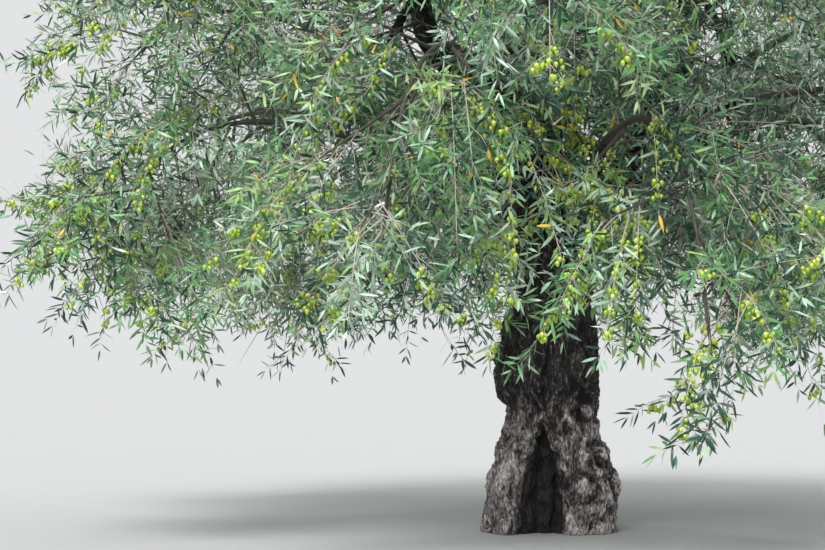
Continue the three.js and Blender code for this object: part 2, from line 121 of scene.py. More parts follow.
# Main boughs: azimuth in degrees, the bends that each passes and its radius at its start.
BOUGHS = [
    {
        "azimuth": 180,
        "bends": [
            (-0.045, 0, 1.13),
            (-0.132, -0.015, 1.57),
            (-0.215, -0.025, 1.79),
            (-0.37, -0.035, 2.05),
            (-0.56, -0.03, 2.29),
        ],
        "start_radius": 0.106,
    },
    {
        "azimuth": 10,
        "bends": [
            (0.07, -0.01, 1.13),
            (0.165, -0.01, 1.36),
            (0.29, 0, 1.57),
            (0.465, 0.025, 1.9),
            (0.65, 0.09, 2.24),
        ],
        "start_radius": 0.086,
    },
    {
        "azimuth": 95,
        "bends": [(0.01, 0.05, 1.13), (0.02, 0.15, 1.4), (0.005, 0.33, 1.75), (-0.09, 0.56, 2.25)],
        "start_radius": 0.088,
    },
]
BOUGH_TIP_RADIUS = 0.03
BOUGH_ARRIVAL = 0.16  # length over which it takes its mass's heading
BOUGH_TAPER = 0.85

# Side limbs: each leaves its bough at its own station and ends at the foot of its mass.
LIMB_STEPS = 5
LIMB_SHARE = 0.52  # of its bough's radius there
LIMB_TIP_RADIUS = 0.019
LIMB_TAPER = 0.8
LIMB_OUTWARD = 0.38  # shares of its span
LIMB_RISE = 0.16
LIMB_ARRIVAL = 0.3
LIMB_STATIONS = (0.24, 0.93)

# Masses of foliage stand in rings round the crown's axis, by turns lower and higher than their ring by the
# stagger. Each pair is a distance from that axis and a height: the middle of a mass's own space, its foot,
# the bend of its stem and the stem's tip.
RING_VALUES = ("name", "count", "first_azimuth", "stagger", "centre", "foot", "bend", "tip", "droop")
RING_ROWS = [
    ("skirt", 9, -75, 0.11, (1.8, 1.43), (0.9, 1.84), (1.86, 2.12), (2.1, 1.33), 0.33),
    ("middle", 8, -98, 0.13, (1.8, 2.48), (0.86, 2.3), (1.62, 2.86), (2.12, 2.32), 0.34),
    ("upper", 6, 180, 0.09, (1.36, 3.36), (0.78, 2.85), (1.2, 3.38), (1.66, 3.2), 0.3),
    ("top", 2, 60, 0, (0.5, 3.95), (0.3, 3.2), (0.4, 3.68), (0.72, 3.9), 0.22),
]
RINGS = [dict(zip(RING_VALUES, row)) for row in RING_ROWS]
# How far below the ring's own height each skirt hangs, in turn from the front right.
SKIRT_HANG = [0.5, 0.33, -0.06, -0.06, 0, 0.11, 0.02, 0.08, 0.26]
HANG_PARTS = 3  # a skirt's own space sinks by one of so many parts of its hang
AZIMUTH_JITTER = 5  # degrees
PLACE_JITTER = 0.055

# One mass: a stem, twigs round it at the golden angle, and sprays of leaves along each twig.
STEM_RADII = (0.019, 0.009)
STEM_STEPS = 4
TWIGS = 9
FIRST_TWIG = 0.12  # share of the stem that stays bare
LEADER_STATION = 0.85  # where the last twig or spray takes over and runs on ahead
TWIG_SHARE = 0.65  # of the stem's radius where it leaves
TWIG_LENGTH = (0.36, 0.576)
TWIG_OPENING = (50, 80)  # degrees from the stem
TWIG_TRIES = (1, 0.82, 0.66, 0.5)  # shares of its length, the first that fits
TWIG_CLEARANCE = 0.04  # from a limb
TWIG_CHECKS = 9  # places along it that keep clear
STATION_JITTER = 0.6  # of one twig's spacing
TURN_JITTER = 0.5  # radians
LEADER_SHARE = 0.5  # of a twig's length
SPRAYS = 8
FIRST_SPRAY = 0.26
SPRAY_JITTER = 0.5  # of one spray's spacing
SPRAY_OPENING = (34, 62)
SPRAY_TURN = 1.6  # radians that it may stray from its side of the twig
SPRAY_ROLL = 1.4
SPRAY_DROOP = 0.5  # of its ring's droop
SPRAY_LENGTH = (0.37, 0.54)
SPRAY_WIDTH = 0.42  # of its length
SPRAY_THICKNESS = 0.026
SPRAY_WIDEST = 0.4
SPRAY_CLEARANCE = 0.022
SPRAY_CHECKS = 6
CELL_MARGIN = 0.007

# The crown's own limits, past which nothing grows.
CROWN_MIDDLE = 1.95
CROWN_REACH = 2.68
CROWN_RISE = 2.44
CROWN_DROP = 1.64
CROWN_POWER = 2.4

RANDOM_FACTOR = 48271
RANDOM_MODULUS = 2147483647
RANDOM_STRIDE = 7919
RANDOM_START = 104729

# The skin of the wood: the grid over the trunk's form and the voxels of the merged wood.
TRUNK_GRID = (200, 180)
TRUNK_VOXEL = 0.0065
BOUGH_VOXEL = 0.0095
TUBE_SIDES = 20
FORK_END = 0.27  # how far the trunk's skin runs up each bough
FORK_STEPS = 12
FORK_NARROWED = (1, 0.9)  # shares of the radius near a form's two ends, where they lie in other wood
BOUGH_START = 0.13  # where the boughs' own skin starts, inside the trunk's
BOUGH_STEPS = 40
BOUGH_NARROWED = (0.9, 1)
LIMB_FORM_STEPS = 16
SKIN_SMOOTHING = 2

# The bark's relief: how large its features are and how far they stand out.
DRIFT_SIZE = 0.14
DRIFT = 0.035
LUMP_SIZE = 0.1
LUMP_RISE = 0.019
KNOT_SIZE = 0.062
KNOT_RISE = 0.018
KNOT_SHIFT = Vector((0, 0, 7.3))
KNOT_BAND = (0.06, 0.45)  # of the noise, from where knots start to where they are whole
KNOTTY_SHARES = (0.35, 1)  # of the knots' rise, on the left of the trunk and on its right
KNOTTY_ACROSS = (-0.08, 0.06)  # where the trunk's left goes over into its right
KNOTTY_UP_TO = (0.5, 0.7)
RIDGE_SIZE = 0.038
RIDGE_STRETCH = 3.6  # ridges run up the trunk
RIDGE_RISE = 0.0075
RIDGE_FRACTAL = (0.9, 2.1, 3, 1.0, 1.6)  # roughness, step between octaves, octaves, offset and gain
SMOOTHED = (0.6, 0.85, 0.7)  # share of the ridges lost in the hollow, on its lip and on knots
FULL_GIRTH = 0.2  # radius of wood whose bark has its whole relief
GIRTH_SAMPLES = 60  # along each limb
GIRTH_BAND = (1.2, 1.6)  # heights over which the trunk's girth goes over into its boughs'
LEGS_UP_TO = (0.42, 0.7)  # the trunk is paler below, for dust and lichen, and darker above, for sooty mould and painted shade under the crown
SMALL_BURL = 0.065  # spread up to which a burl is a knob, with a worn pale top and a groove round it that is painted darker as shade
KNOBS_FROM = -90  # degrees: they stand on the right of the hollow
KNOB_TOP = 0.62  # all three in spreads
KNOB_RIM = 1.15
KNOB_RIM_WIDTH = 0.3
KNOB_GROOVE = 0.007
ROLLED_HEIGHT = 0.29  # where the hollow's left lip is rolled and worn smooth
ROLLED_SPREAD = 0.11
ROLLED_ACROSS = (-0.1, 0.02)
PAINTED_RIDGE_LIGHT_AND_SHADE = 0.25  # painted highlight and shade: how much paler the tops of ridges are, and how much darker their furrows
PAINTED_GROOVE_SHADE = 0.6  # painted shade: how much darker the grooves round knobs are
KNOT_WEAR = 0.6
KNOB_WEAR = (0.5, 0.85)  # at the bark's mean height and at one deviation above it
# Painted light: the trunk's right leg, which stands in the key light's shade, is painted paler.
PAINTED_RIGHT_LEG_LIGHT = 1.1
HOLLOW_SHADE_BAND = (0.05, 0.4)  # where the painted shade starts and is whole, in the hollow and in the knot hole
KNOT_HOLE_SHADE_BAND = (0.2, 0.7)
KNOT_HOLE = (-128, 0.37, 0.016, 0.014)  # angle, height, spread and depth of the hole left of the hollow
FLAKE_SIZE = 0.01
FLAKE_STRETCH = 2.6
PATCH_SIZE = 0.09
# Shares of the bark's tone: flakes and patches are its own pattern, worn places are paler, height brings a
# painted highlight on ridges and painted shade in furrows and grooves, and the lower trunk is paler for
# dust, with painted shade above and painted light on its right leg.
TONE_SHARES = {"flakes": 1.8, "height": 0.6, "patches": 0.35, "legs_dust_and_painted_light": 0.4, "worn": 0.4}
TONE_RANGE = (1.28, 2.34)  # their sum, from the bark's darkest colour to its palest

# Inner twigs, straight on the boughs and limbs.
INNER_TWIGS = 5
INNER_STATIONS = (0.34, 1)
INNER_LENGTH = (0.34, 0.56)
INNER_DROOP = 0.3
INNER_RADIUS = 0.009
INNER_SEED = 100
INNER_CHECKS = 5

# Before the fork the crown is thinner and in full fruit, and the trunk shows through it: the middle and the
# reach of that gap, across and upwards.
FORK_GAP_MIDDLE = (-0.05, 1.38)
FORK_GAP_REACH = (0.34, 0.56)
FORK_GAP_KEPT = 0.28  # share of its sprays
FORK_GAP_HANGING = 0.8  # share of its hanging shoots
FORK_GAP_FRUITING = 0.9
# Nothing hangs lower than this before the trunk's waist and its hollow, between two places across it.
BEFORE_TRUNK = (-0.42, 0.2)
BEFORE_TRUNK_LOWEST = 0.72

# Shoots, the finest twigs, along each spray. Shares are of the longer shoot's length.
STEM_STATIONS = 17
STEM_SIDES = 8
STEM_TAPER = 0.25
STEM_TAPER_POWER = 1.5
STEM_KNOTS = 0.13  # share by which a stem swells and narrows along its length
STEM_KNOT_STEP = 2.4  # radians from one station to the next
TWIG_TAPER = 0.35
BARE_INSIDE = 0.6  # share of the shoots that the inside of the crown keeps
LEAFY_DEPTH = (0.1, 0.4)  # how far out in the crown shoots start to fill in and are full
LEAFY_STEM = (0.35, 1)
LEAFY_TWIG = (0.4, 1)
SPRAY_STEPS = 5
SPRAY_RADIUS = 0.0036
SPRAY_SAG = 0.35  # of its ring's droop
SHOOTS = 5
SHOOT_STATIONS = (0.1, 0.95)
SHOOT_JITTER = 0.9  # of one shoot's spacing
SHOOT_SHORTENING = (1.1, 0.7)  # shares of its length, at the longer shoot's root and tip
SHOOT_OPENING = (28, 58)
SHOOT_TILT = 1.1
SHOOT_LENGTH = (0.12, 0.24)
SHOOT_DROOP = (-0.4, 1.7)  # of its ring's droop
SHOOT_STEPS = 2
SHOOT_RADIUS = 0.0018
SPRAY_END = (0.6, 1.12)  # the stretch of a spray that carries leaves itself

# Hanging shoots, long and sparse, round the outside of the crown.
HANGING_RINGS = {"skirt": 4, "middle": 3, "upper": 1}  # how many on each twig
HANGING_STATIONS = (0.45, 1)
HANGING_FROM = 1.25  # distance of the twig's end from the crown's axis
HANGING_LENGTH = (0.3, 0.62)
HANGING_LEAN = (0.5, 0.35, 0.3)  # along its twig, outward and down
HANGING_STRAY = (0.25, 0.25, 0.1)
HANGING_DROOP = (0.4, 0.85)
HANGING_STEPS = 6
HANGING_RADIUS = 0.0026
HANGING_LOWEST = 0.3
HANGING_BELOW = 0.3  # how far below its mass's tip it may reach
HANGING_SIDES = 4
HANGING_SIDE_LENGTH = (0.07, 0.15)
HANGING_SIDE_STATIONS = (0.3, 1)
HANGING_SIDE_DROOP = 0.4

# Leaves in opposite pairs.
LEAF_PAIRS = 5
HANGING_PAIRS = 11
HANGING_SIDE_PAIRS = 4
LEAVES_FROM = (0.08, 0.3)
HANGING_LEAVES_FROM = (0.35, 0.6)
FRUITING_LEAVES_FROM = (0.45, 0.6)
LEAF_LENGTH = (0.058, 0.086)
LEAF_WIDTH = 0.0115
LEAF_CURL = (0.02, 0.2)
LEAF_FALL = 0.02
LEAF_STATIONS = (0.4, 0.7)  # in its pair's stretch of the shoot
LEAF_TURN = 0.4  # radians that it may stray from its place round the shoot
LEAF_OPENING = (0.7, 1.3)  # radians from the shoot
LAST_LEAF_OPENING = (0.25, 0.5)
LAST_LEAF_LENGTH = 0.8  # of the others'
LEAF_FACING = (0.55, 0.7, 0.45, 0.5)  # towards the shoot's tip, up, outward and at random
LEAF_WIDTHS = (0.8, 1.15)
LEAF_STALK = 0.002
LEAF_OUTLINE = [(0.32, 0.94), (0.68, 0.84)]  # shares of its length and of its width
LEAF_POINTS = 6
LEAF_TRIANGLES = np.array([(0, 1, 2), (2, 1, 3), (2, 3, 4), (4, 3, 5)])
LEAF_MIXING = 0.3  # share of leaves that differ from their spray
LEAF_PIECES = {
    "leaves_skirt_front": range(0, 4),
    "leaves_skirt_back": range(4, 9),
    "leaves_middle_front": range(9, 13),
    "leaves_middle_back": range(13, 17),
    "leaves_top": range(17, 25),
}

# Olives hang in clusters on short stalks, on the bare stretch of a fruiting shoot.
OLIVE_LENGTH = 0.0225
OLIVE_WIDTH = 0.0185
OLIVE_RINGS = [(0.82, 0.2), (1.0, 0.52), (0.66, 0.86)]  # share of the width and of the length
OLIVE_SIDES = 5
OLIVE_SIZES = (0.85, 1.12)
RIPENING_SHARE = 0.45
STALK_DROP = (0.004, 0.034)
STALK_SPREAD = (0.009, 0.018)
STALK_RADIUS = 0.0009
STALK_SUNK = 0.002
CLUSTERS = 2
CLUSTER_JITTER = 0.9  # of one cluster's spacing
CLUSTER_OF = 5
CLUSTER_FILLED = 0.72
FRUIT_STATIONS = (0.12, 0.6)
HANGING_CLUSTERS = 7
HANGING_FRUIT_STATIONS = (0.25, 0.9)
FRUITING_SHARE = {"skirt": 0.4, "middle": 0.55, "upper": 0.26, "top": 0.16}
HANGING_FRUITING = 0.65
FRUIT_DEPTH = (0.45, 0.85)  # how far out in the crown fruit starts and is full

LEAF_SLACK = 0.12  # how far leaves and shoots may stand out of the solids' box
SHOOT_SLACK = 0.09
SHOOT_CLEARANCE = 0.004
SEED = 20

# A wide pale floor, an even sky, one soft light from the upper left, and the camera where the photo has it.
STAGE_RADIUS = 400
STAGE_SIDES = 64
SKY_COLOUR = "#f2f4f5"
SKY_STRENGTH = 0.86
KEY_STRENGTH = 4.0
KEY_SOFTNESS = 25  # degrees
KEY_ROTATION = (46, 0, -18)
CAMERA_PLACE = (-0.63, -9.0, 0.73)
CAMERA_ROTATION = (92.85, 0, 0)
CAMERA_LENS = 85
CAMERA_SENSOR = 36


def between(ends, share):
    """The value at a share of the way between two."""
    return ends[0] + (ends[1] - ends[0]) * share


def along_line(start, end, shares):
    """Points at shares of the way along a straight line, or along each of many."""
    return between((start[..., None, :], end[..., None, :]), shares[:, None])


def columns(rows, *keys):
    """What rows hold under each key, as arrays."""
    return [np.array([row[key] for row in rows]) for key in keys]


def smooth_step(low, high, value):
    share = np.clip((value - low) / (high - low), 0, 1)
    return share * share * (3 - 2 * share)


def unit(vectors):
    return vectors / np.linalg.norm(vectors, axis=-1, keepdims=True)


def dot(a, b):
    return (a * b).sum(-1, keepdims=True)


def seeded_random(seed):
    """The same numbers each time for a seed, between 0 and 1."""
    state = seed * RANDOM_STRIDE + RANDOM_START

    def draw():
        nonlocal state
        state = (state * RANDOM_FACTOR) % RANDOM_MODULUS
        return state / RANDOM_MODULUS

    draw()
    return draw


def angle_between(angle, degrees):
    """The angle in radians from a place in degrees, the short way round."""
    turn = angle - np.radians(degrees)
    return np.arctan2(np.sin(turn), np.cos(turn))


def ring_point(pair, azimuth):
    """A point from a distance from the crown's axis, a height and an azimuth in radians."""
    distance, height = pair
    return np.array([math.cos(azimuth) * distance, math.sin(azimuth) * distance, height])


def across_of(direction, chord):
    """Two directions across a line: the first is level, the second is square to both."""
    level = np.cross(chord, UP)
    length = np.linalg.norm(chord, axis=-1, keepdims=True)
    upright = np.linalg.norm(level, axis=-1, keepdims=True) < NEARLY_UPRIGHT * length
    level = np.where(upright, (1.0, 0.0, 0.0), level)
    level = unit(level - dot(level, direction) * direction)
    return level, np.cross(direction, level)


def opened_from(direction, chord, opening, turn):
    """A direction that opens from a line by an angle, turned round it."""
    level, square = across_of(direction, chord)
    around = level * np.cos(turn) + square * np.sin(turn)
    return direction * np.cos(opening) + around * np.sin(opening)


# Curves. Each is a function that gives the point at a share of its length's parameter.


def catmull_rom(points):
    """A smooth curve through points, with centripetal spacing."""
    points = np.array(points, float)
    last = len(points) - 1
    padded = np.vstack([2 * points[0] - points[1], points, 2 * points[last] - points[last - 1]])

    def point(share):
        place = min(share * last, last - 1e-12)
        step = int(place)
        p0, p1, p2, p3 = padded[step : step + 4]
        d0, d1, d2 = (np.linalg.norm(b - a) ** 0.5 for a, b in ((p0, p1), (p1, p2), (p2, p3)))
        start = ((p1 - p0) / d0 - (p2 - p0) / (d0 + d1) + (p2 - p1) / d1) * d1
        end = ((p2 - p1) / d1 - (p3 - p1) / (d1 + d2) + (p3 - p2) / d2) * d1
        t = place - step
        squared = -3 * p1 + 3 * p2 - 2 * start - end
        cubed = 2 * p1 - 2 * p2 + start + end
        return p1 + start * t + squared * t**2 + cubed * t**3

    return point


def bezier(*points):
    """A Bezier curve of any degree."""
    degree = len(points) - 1
    weights = [math.comb(degree, i) for i in range(degree + 1)]

    def point(share):
        return sum(
            weight * (1 - share) ** (degree - i) * share**i * each
            for i, (weight, each) in enumerate(zip(weights, points))
        )

    return point


def tangent(curve, share):
    step = 0.0001
    return unit(curve(min(share + step, 1)) - curve(max(share - step, 0)))


def on_steps(curve, steps, along):
    """A point on the straight steps of a curve."""
    step = min(int(along * steps), steps - 1)
    return between((curve(step / steps), curve((step + 1) / steps)), along * steps - step)


# Masses, boughs and limbs, by the same rule as the solids


def make_masses():
    masses = []
    for ring in RINGS:
        for k in range(ring["count"]):
            random = seeded_random(len(masses) + 1)
            turn = 360 / ring["count"] * k + AZIMUTH_JITTER * (2 * random() - 1)
            azimuth = math.radians(ring["first_azimuth"] - turn)
            shift = PLACE_JITTER * (2 * random() - 1)
            lift = PLACE_JITTER * (2 * random() - 1) + ring["stagger"] * (-1 if k % 2 == 0 else 1)
            hang = SKIRT_HANG[k] if ring["name"] == "skirt" else 0
            centre, foot, bend, tip = (
                ring_point((ring[key][0] + shift, ring[key][1] + lift), azimuth)
                for key in ("centre", "foot", "bend", "tip")
            )
            tip = tip - UP * hang
            masses.append({
                "name": f"{ring['name']}_{k + 1}",
                "ring": ring,
                "azimuth": azimuth,
                "centre": centre - UP * hang / HANG_PARTS,
                "foot": foot,
                "tip": tip,
                "heading": unit(bend - foot),
                "stem": bezier(foot, bend, tip),
                "random": random,
            })
    return masses


def stem_points(masses, shares):
    """Points at shares of each mass's stem."""
    return np.array([[mass["stem"](share) for share in shares] for mass in masses])


def make_bough(spec, mass):
    points = [*spec["bends"], mass["foot"] - mass["heading"] * BOUGH_ARRIVAL, mass["foot"]]
    radii = (spec["start_radius"], BOUGH_TIP_RADIUS)
    return {
        **spec,
        "mass": mass,
        "curve": catmull_rom(points),
        "radius_at": lambda along: between(radii, along**BOUGH_TAPER),
    }


def make_limb(bough, station, mass):
    """A side limb from a station on a bough to the foot of a mass, on one smooth bend."""
    start, foot = bough["curve"](station), mass["foot"]
    span = np.linalg.norm(foot - start)
    outward = unit((foot - start) * (1, 1, 0))
    leaving = start + outward * LIMB_OUTWARD * span + UP * LIMB_RISE * span
    arriving = foot - mass["heading"] * LIMB_ARRIVAL * span
    radii = (bough["radius_at"](station) * LIMB_SHARE, LIMB_TIP_RADIUS)
    return {
        "mass": mass,
        "curve": bezier(start, leaving, arriving, foot),
        "radius_at": lambda along: between(radii, along**LIMB_TAPER),
    }


def nearest_in_azimuth(azimuth, others):
    def off(other):
        turn = azimuth - other
        return abs(math.atan2(math.sin(turn), math.cos(turn)))

    return min(range(len(others)), key=lambda i: off(others[i]))


def make_boughs(masses):
    """A bough runs into the nearest in azimuth among the upper masses."""
    upper = [mass for mass in masses if mass["ring"]["name"] == "upper"]
    azimuths = [mass["azimuth"] for mass in upper]
    nearest = [nearest_in_azimuth(math.radians(spec["azimuth"]), azimuths) for spec in BOUGHS]
    return [make_bough(spec, upper[i]) for spec, i in zip(BOUGHS, nearest)]


def make_limbs(boughs, masses):
    """Each other mass gets a limb from the bough nearest to it in azimuth, low masses from low stations."""
    carried = [bough["mass"]["name"] for bough in boughs]
    azimuths = [math.radians(bough["azimuth"]) for bough in boughs]
    waiting = [mass for mass in masses if mass["name"] not in carried]
    limbs = []
    for i, bough in enumerate(boughs):
        own = [mass for mass in waiting if nearest_in_azimuth(mass["azimuth"], azimuths) == i]
        for k, mass in enumerate(own):
            limbs.append(make_limb(bough, between(LIMB_STATIONS, k / (len(own) - 1)), mass))
    return limbs


def crown_depth(points):
    """How far out in the crown points are: 0 in its middle and 1 at its limit."""
    height = points[..., 2] - CROWN_MIDDLE
    across = np.hypot(points[..., 0], points[..., 1]) / CROWN_REACH
    up = np.abs(height) / np.where(height > 0, CROWN_RISE, CROWN_DROP)
    return across**CROWN_POWER + up**CROWN_POWER


class Space:
    """Where foliage may grow: inside the crown, in its mass's own space and clear of the limbs."""

    def __init__(self, masses, wood):
        self.centres = np.array([mass["centre"] for mass in masses])
        steps = np.arange(LIMB_STEPS) / LIMB_STEPS
        self.starts = np.array([limb["curve"](t) for limb in wood for t in steps])
        ends = np.array([limb["curve"](t + 1 / LIMB_STEPS) for limb in wood for t in steps])
        self.runs = ends - self.starts
        self.radii = np.array([limb["radius_at"](t) for limb in wood for t in steps])

    def in_crown(self, points):
        return crown_depth(points) < 1

    def in_own_space(self, points, own, margin):
        """Whether points lie nearer to the own centre than to any other, less a margin."""
        points = np.atleast_2d(points)
        distances = ((points[:, None] - self.centres) ** 2).sum(-1)
        nearer = np.delete(distances - distances[:, own : own + 1], own, 1)
        apart = np.linalg.norm(np.delete(self.centres, own, 0) - self.centres[own], axis=1)
        return bool((nearer / (2 * apart) > margin).all())

    def clear_of_limbs(self, points, clearance):
        """Which points stay clear of every bough and limb."""
        ahead = points[..., None, :] - self.starts
        share = np.clip((ahead * self.runs).sum(-1) / (self.runs**2).sum(-1), 0, 1)
        nearest = np.linalg.norm(ahead - share[..., None] * self.runs, axis=-1)
        return (nearest > self.radii + clearance).all(-1)


def drooped_end(root, heading, length, droop):
    """Where a twig ends that leans down, the less the steeper it stands."""
    return root + heading * length - UP * droop * length * (1 - abs(heading[2]) / 2)


def grow_twigs(mass, own, space):
    """The twigs of a mass, each leaning down a little, shortened until it fits its space."""
    random, stem, droop = mass["random"], mass["stem"], mass["ring"]["droop"]
    chord = mass["tip"] - mass["foot"]
    twigs = []
    for k in range(TWIGS):
        station = FIRST_TWIG + (1 - FIRST_TWIG) * ((k + STATION_JITTER * random()) / TWIGS)
        opening = math.radians(between(TWIG_OPENING, random()))
        turn = GOLDEN_ANGLE * k + TURN_JITTER * random()
        is_leader = k == TWIGS - 1
        full_length = between(TWIG_LENGTH, random()) * (LEADER_SHARE if is_leader else 1)
        place = LEADER_STATION if is_leader else station
        root = on_steps(stem, STEM_STEPS, place)
        direction = tangent(stem, place)
        heading = direction if is_leader else opened_from(direction, chord, opening, turn)
        radius = TWIG_SHARE * between(STEM_RADII, place)
        for share in TWIG_TRIES:
            length = full_length * share
            end = drooped_end(root, heading, length, droop)
            line = along_line(root, end, np.arange(1, TWIG_CHECKS + 1) / TWIG_CHECKS)
            fits = space.in_crown(end) and space.in_own_space(end, own, radius + CELL_MARGIN)
            if fits and space.clear_of_limbs(line, radius + TWIG_CLEARANCE).all():
                twigs.append({"root": root, "end": end, "radius": radius})
                break
    return twigs


def spray_fits(spray, own, space):
    half, edge = spray["length"] * SPRAY_WIDEST, spray["length"] * SPRAY_WIDTH / 2
    root, heading, wide = spray["root"], spray["heading"], spray["wide"]
    tip = root + heading * spray["length"]
    middle = root + heading * half
    corners = np.array([root, tip, middle + wide * edge, middle - wide * edge])
    middle_line = along_line(root, tip, np.linspace(0, 1, SPRAY_CHECKS))
    margin = CELL_MARGIN + spray["length"] * SPRAY_THICKNESS / 2
    return (
        space.in_crown(corners).all()
        and space.in_own_space(corners, own, margin)
        and space.clear_of_limbs(middle_line, edge + SPRAY_CLEARANCE).all()
    )


def grow_sprays(twig, random, droop):
    """The sprays of a twig, by turns to either side, and one at its tip."""
    direction = unit(twig["end"] - twig["root"])
    sprays = []
    for k in range(SPRAYS):
        is_tip = k == SPRAYS - 1
        jitter = 0 if is_tip else SPRAY_JITTER * random()
        station = LEADER_STATION if is_tip else between((FIRST_SPRAY, 1), (k + jitter) / SPRAYS)
        opening = math.radians(between(SPRAY_OPENING, random()))
        turn = math.pi * (k % 2) + SPRAY_TURN * (random() - 0.5)
        length = between(SPRAY_LENGTH, random())
        roll = SPRAY_ROLL * (random() - 0.5)
        heading = direction if is_tip else opened_from(direction, direction, opening, turn)
        heading = unit(heading - UP * SPRAY_DROOP * droop)
        level, square = across_of(heading, heading)
        sprays.append({
            "root": between((twig["root"], twig["end"]), station),
            "heading": heading,
            "length": length,
            "wide": level * math.cos(roll) + square * math.sin(roll),
        })
    return sprays


def inside_box(points, slack):
    """Which sets of points stay in the solids' box, or out of it by no more than the slack."""
    low, high = np.array(cad_low) - slack, np.array(cad_high) + slack
    return ((points > low) & (points < high)).all((1, 2))


def grow_inner_twigs(limb, seed, space):
    """Twigs that leave a limb itself, by the same rule as those of a mass."""
    random = seeded_random(seed)
    twigs = []
    for k in range(INNER_TWIGS):
        station = between(INNER_STATIONS, (k + STATION_JITTER * random()) / INNER_TWIGS)
        opening = math.radians(between(TWIG_OPENING, random()))
        turn = GOLDEN_ANGLE * k + TURN_JITTER * random()
        length = between(INNER_LENGTH, random())
        root = limb["curve"](station)
        direction = tangent(limb["curve"], station)
        heading = opened_from(direction, direction, opening, turn)
        end = drooped_end(root, heading, length, INNER_DROOP)
        outer_half = along_line(root, end, np.linspace(0.5, 1, INNER_CHECKS))
        if space.in_crown(end) and space.clear_of_limbs(outer_half, INNER_RADIUS).all():
            twigs.append({"root": root, "end": end, "radius": INNER_RADIUS})
    return twigs, random


def in_fork_gap(points):
    """Which points lie before the fork, where the crown is thinner."""
    aside = (points[..., 0] - FORK_GAP_MIDDLE[0]) / FORK_GAP_REACH[0]
    up = (points[..., 2] - FORK_GAP_MIDDLE[1]) / FORK_GAP_REACH[1]
    return (points[..., 1] < 0) & (np.hypot(aside, up) < 1)


def hides_trunk(paths):
    """Which paths hang before the trunk lower than they may."""
    across, away, height = np.moveaxis(paths, -1, 0)
    before = (across > BEFORE_TRUNK[0]) & (across < BEFORE_TRUNK[1]) & (away < 0)
    return (before & (height < BEFORE_TRUNK_LOWEST)).any(-1)


def grow_foliage(masses, limbs, space):
    """All twigs and sprays, each with the number of its mass and how much it droops."""
    twigs, sprays = [], []

    def keep(own, droop, random, new_twigs, fits):
        for twig in new_twigs:
            if hides_trunk(np.array([twig["root"], twig["end"]])):
                continue
            twigs.append({**twig, "mass": own, "droop": droop})
            for spray in grow_sprays(twig, random, droop):
                tip = spray["root"] + spray["heading"] * spray["length"]
                if fits(spray) and not hides_trunk(np.array([spray["root"], tip])):
                    sprays.append({**spray, "mass": own, "droop": droop})

    for own, mass in enumerate(masses):
        fits = functools.partial(spray_fits, own=own, space=space)
        keep(own, mass["ring"]["droop"], mass["random"], grow_twigs(mass, own, space), fits)
    names = [mass["name"] for mass in masses]
    for i, limb in enumerate(limbs):
        new_twigs, random = grow_inner_twigs(limb, INNER_SEED + i, space)
        own = names.index(limb["mass"]["name"])
        keep(own, INNER_DROOP, random, new_twigs, lambda spray: space.in_crown(spray["root"]))
    return twigs, sprays


# Meshes from arrays


def mesh_object(name, points, triangles, materials, material_index=None, attributes=None):
    """An object of triangles with its materials and values on its points."""
    mesh = bpy.data.meshes.new(name)
    mesh.vertices.add(len(points))
    mesh.vertices.foreach_set("co", np.ascontiguousarray(points, np.float32).ravel())
    mesh.loops.add(len(triangles) * 3)
    mesh.loops.foreach_set("vertex_index", np.ascontiguousarray(triangles, np.int32).ravel())
    mesh.polygons.add(len(triangles))
    mesh.polygons.foreach_set("loop_start", np.arange(0, len(triangles) * 3, 3, dtype=np.int32))
    if material_index is not None:
        mesh.polygons.foreach_set("material_index", np.ascontiguousarray(material_index, np.int32))
    for material in materials:
        mesh.materials.append(material)
    for key, values in (attributes or {}).items():
        attribute = mesh.attributes.new(key, "FLOAT", "POINT")
        attribute.data.foreach_set("value", np.ascontiguousarray(values, np.float32))
    mesh.update(calc_edges=True)
    mesh.validate()
    made = bpy.data.objects.new(name, mesh)
    bpy.context.scene.collection.objects.link(made)
    return made


def tube_shape(sides, steps):
    """The triangles of a tube that ends in a point: rings of points from its root, then the tip."""
    triangles = [(0, i + 1, i) for i in range(1, sides - 1)]
    for step in range(steps - 1):
        for side in range(sides):
            a = step * sides + side
            b = step * sides + (side + 1) % sides
            triangles += [(a, b, b + sides), (a, b + sides, a + sides)]
    last = (steps - 1) * sides
    tip = steps * sides
    triangles += [(last + side, last + (side + 1) % sides, tip) for side in range(sides)]
    return np.array(triangles)


def repeated(shape, count, size):
    """The triangles of a shape of so many points, repeated for each of a count."""
    return (shape + np.arange(count)[:, None, None] * size).reshape(-1, 3)


def tubes(paths, radii, sides):
    """Points and triangles of pointed tubes along paths, which have the shape (tubes, steps + 1, 3)."""
    count, stations = paths.shape[:2]
    steps = stations - 1
    runs = unit(np.gradient(paths, axis=1))
    level, square = across_of(runs, np.broadcast_to(runs.mean(1, keepdims=True), runs.shape))
    turns = np.arange(sides) * TURN / sides
    around = level[:, :, None] * np.cos(turns)[:, None] + square[:, :, None] * np.sin(turns)[:, None]
    rings = paths[:, :, None] + around * np.broadcast_to(radii, paths.shape[:2])[:, :, None, None]
    points = np.concatenate([rings[:, :-1].reshape(count, -1, 3), paths[:, -1:]], axis=1)
    return points.reshape(-1, 3), repeated(tube_shape(sides, steps), count, points.shape[1])


def joined(parts):
    """Several sets of points and triangles as one."""
    points, triangles, start = [], [], 0
    for part_points, part_triangles in parts:
        points.append(part_points)
        triangles.append(part_triangles + start)
        start += len(part_points)
    return np.concatenate(points), np.concatenate(triangles)


# Wood


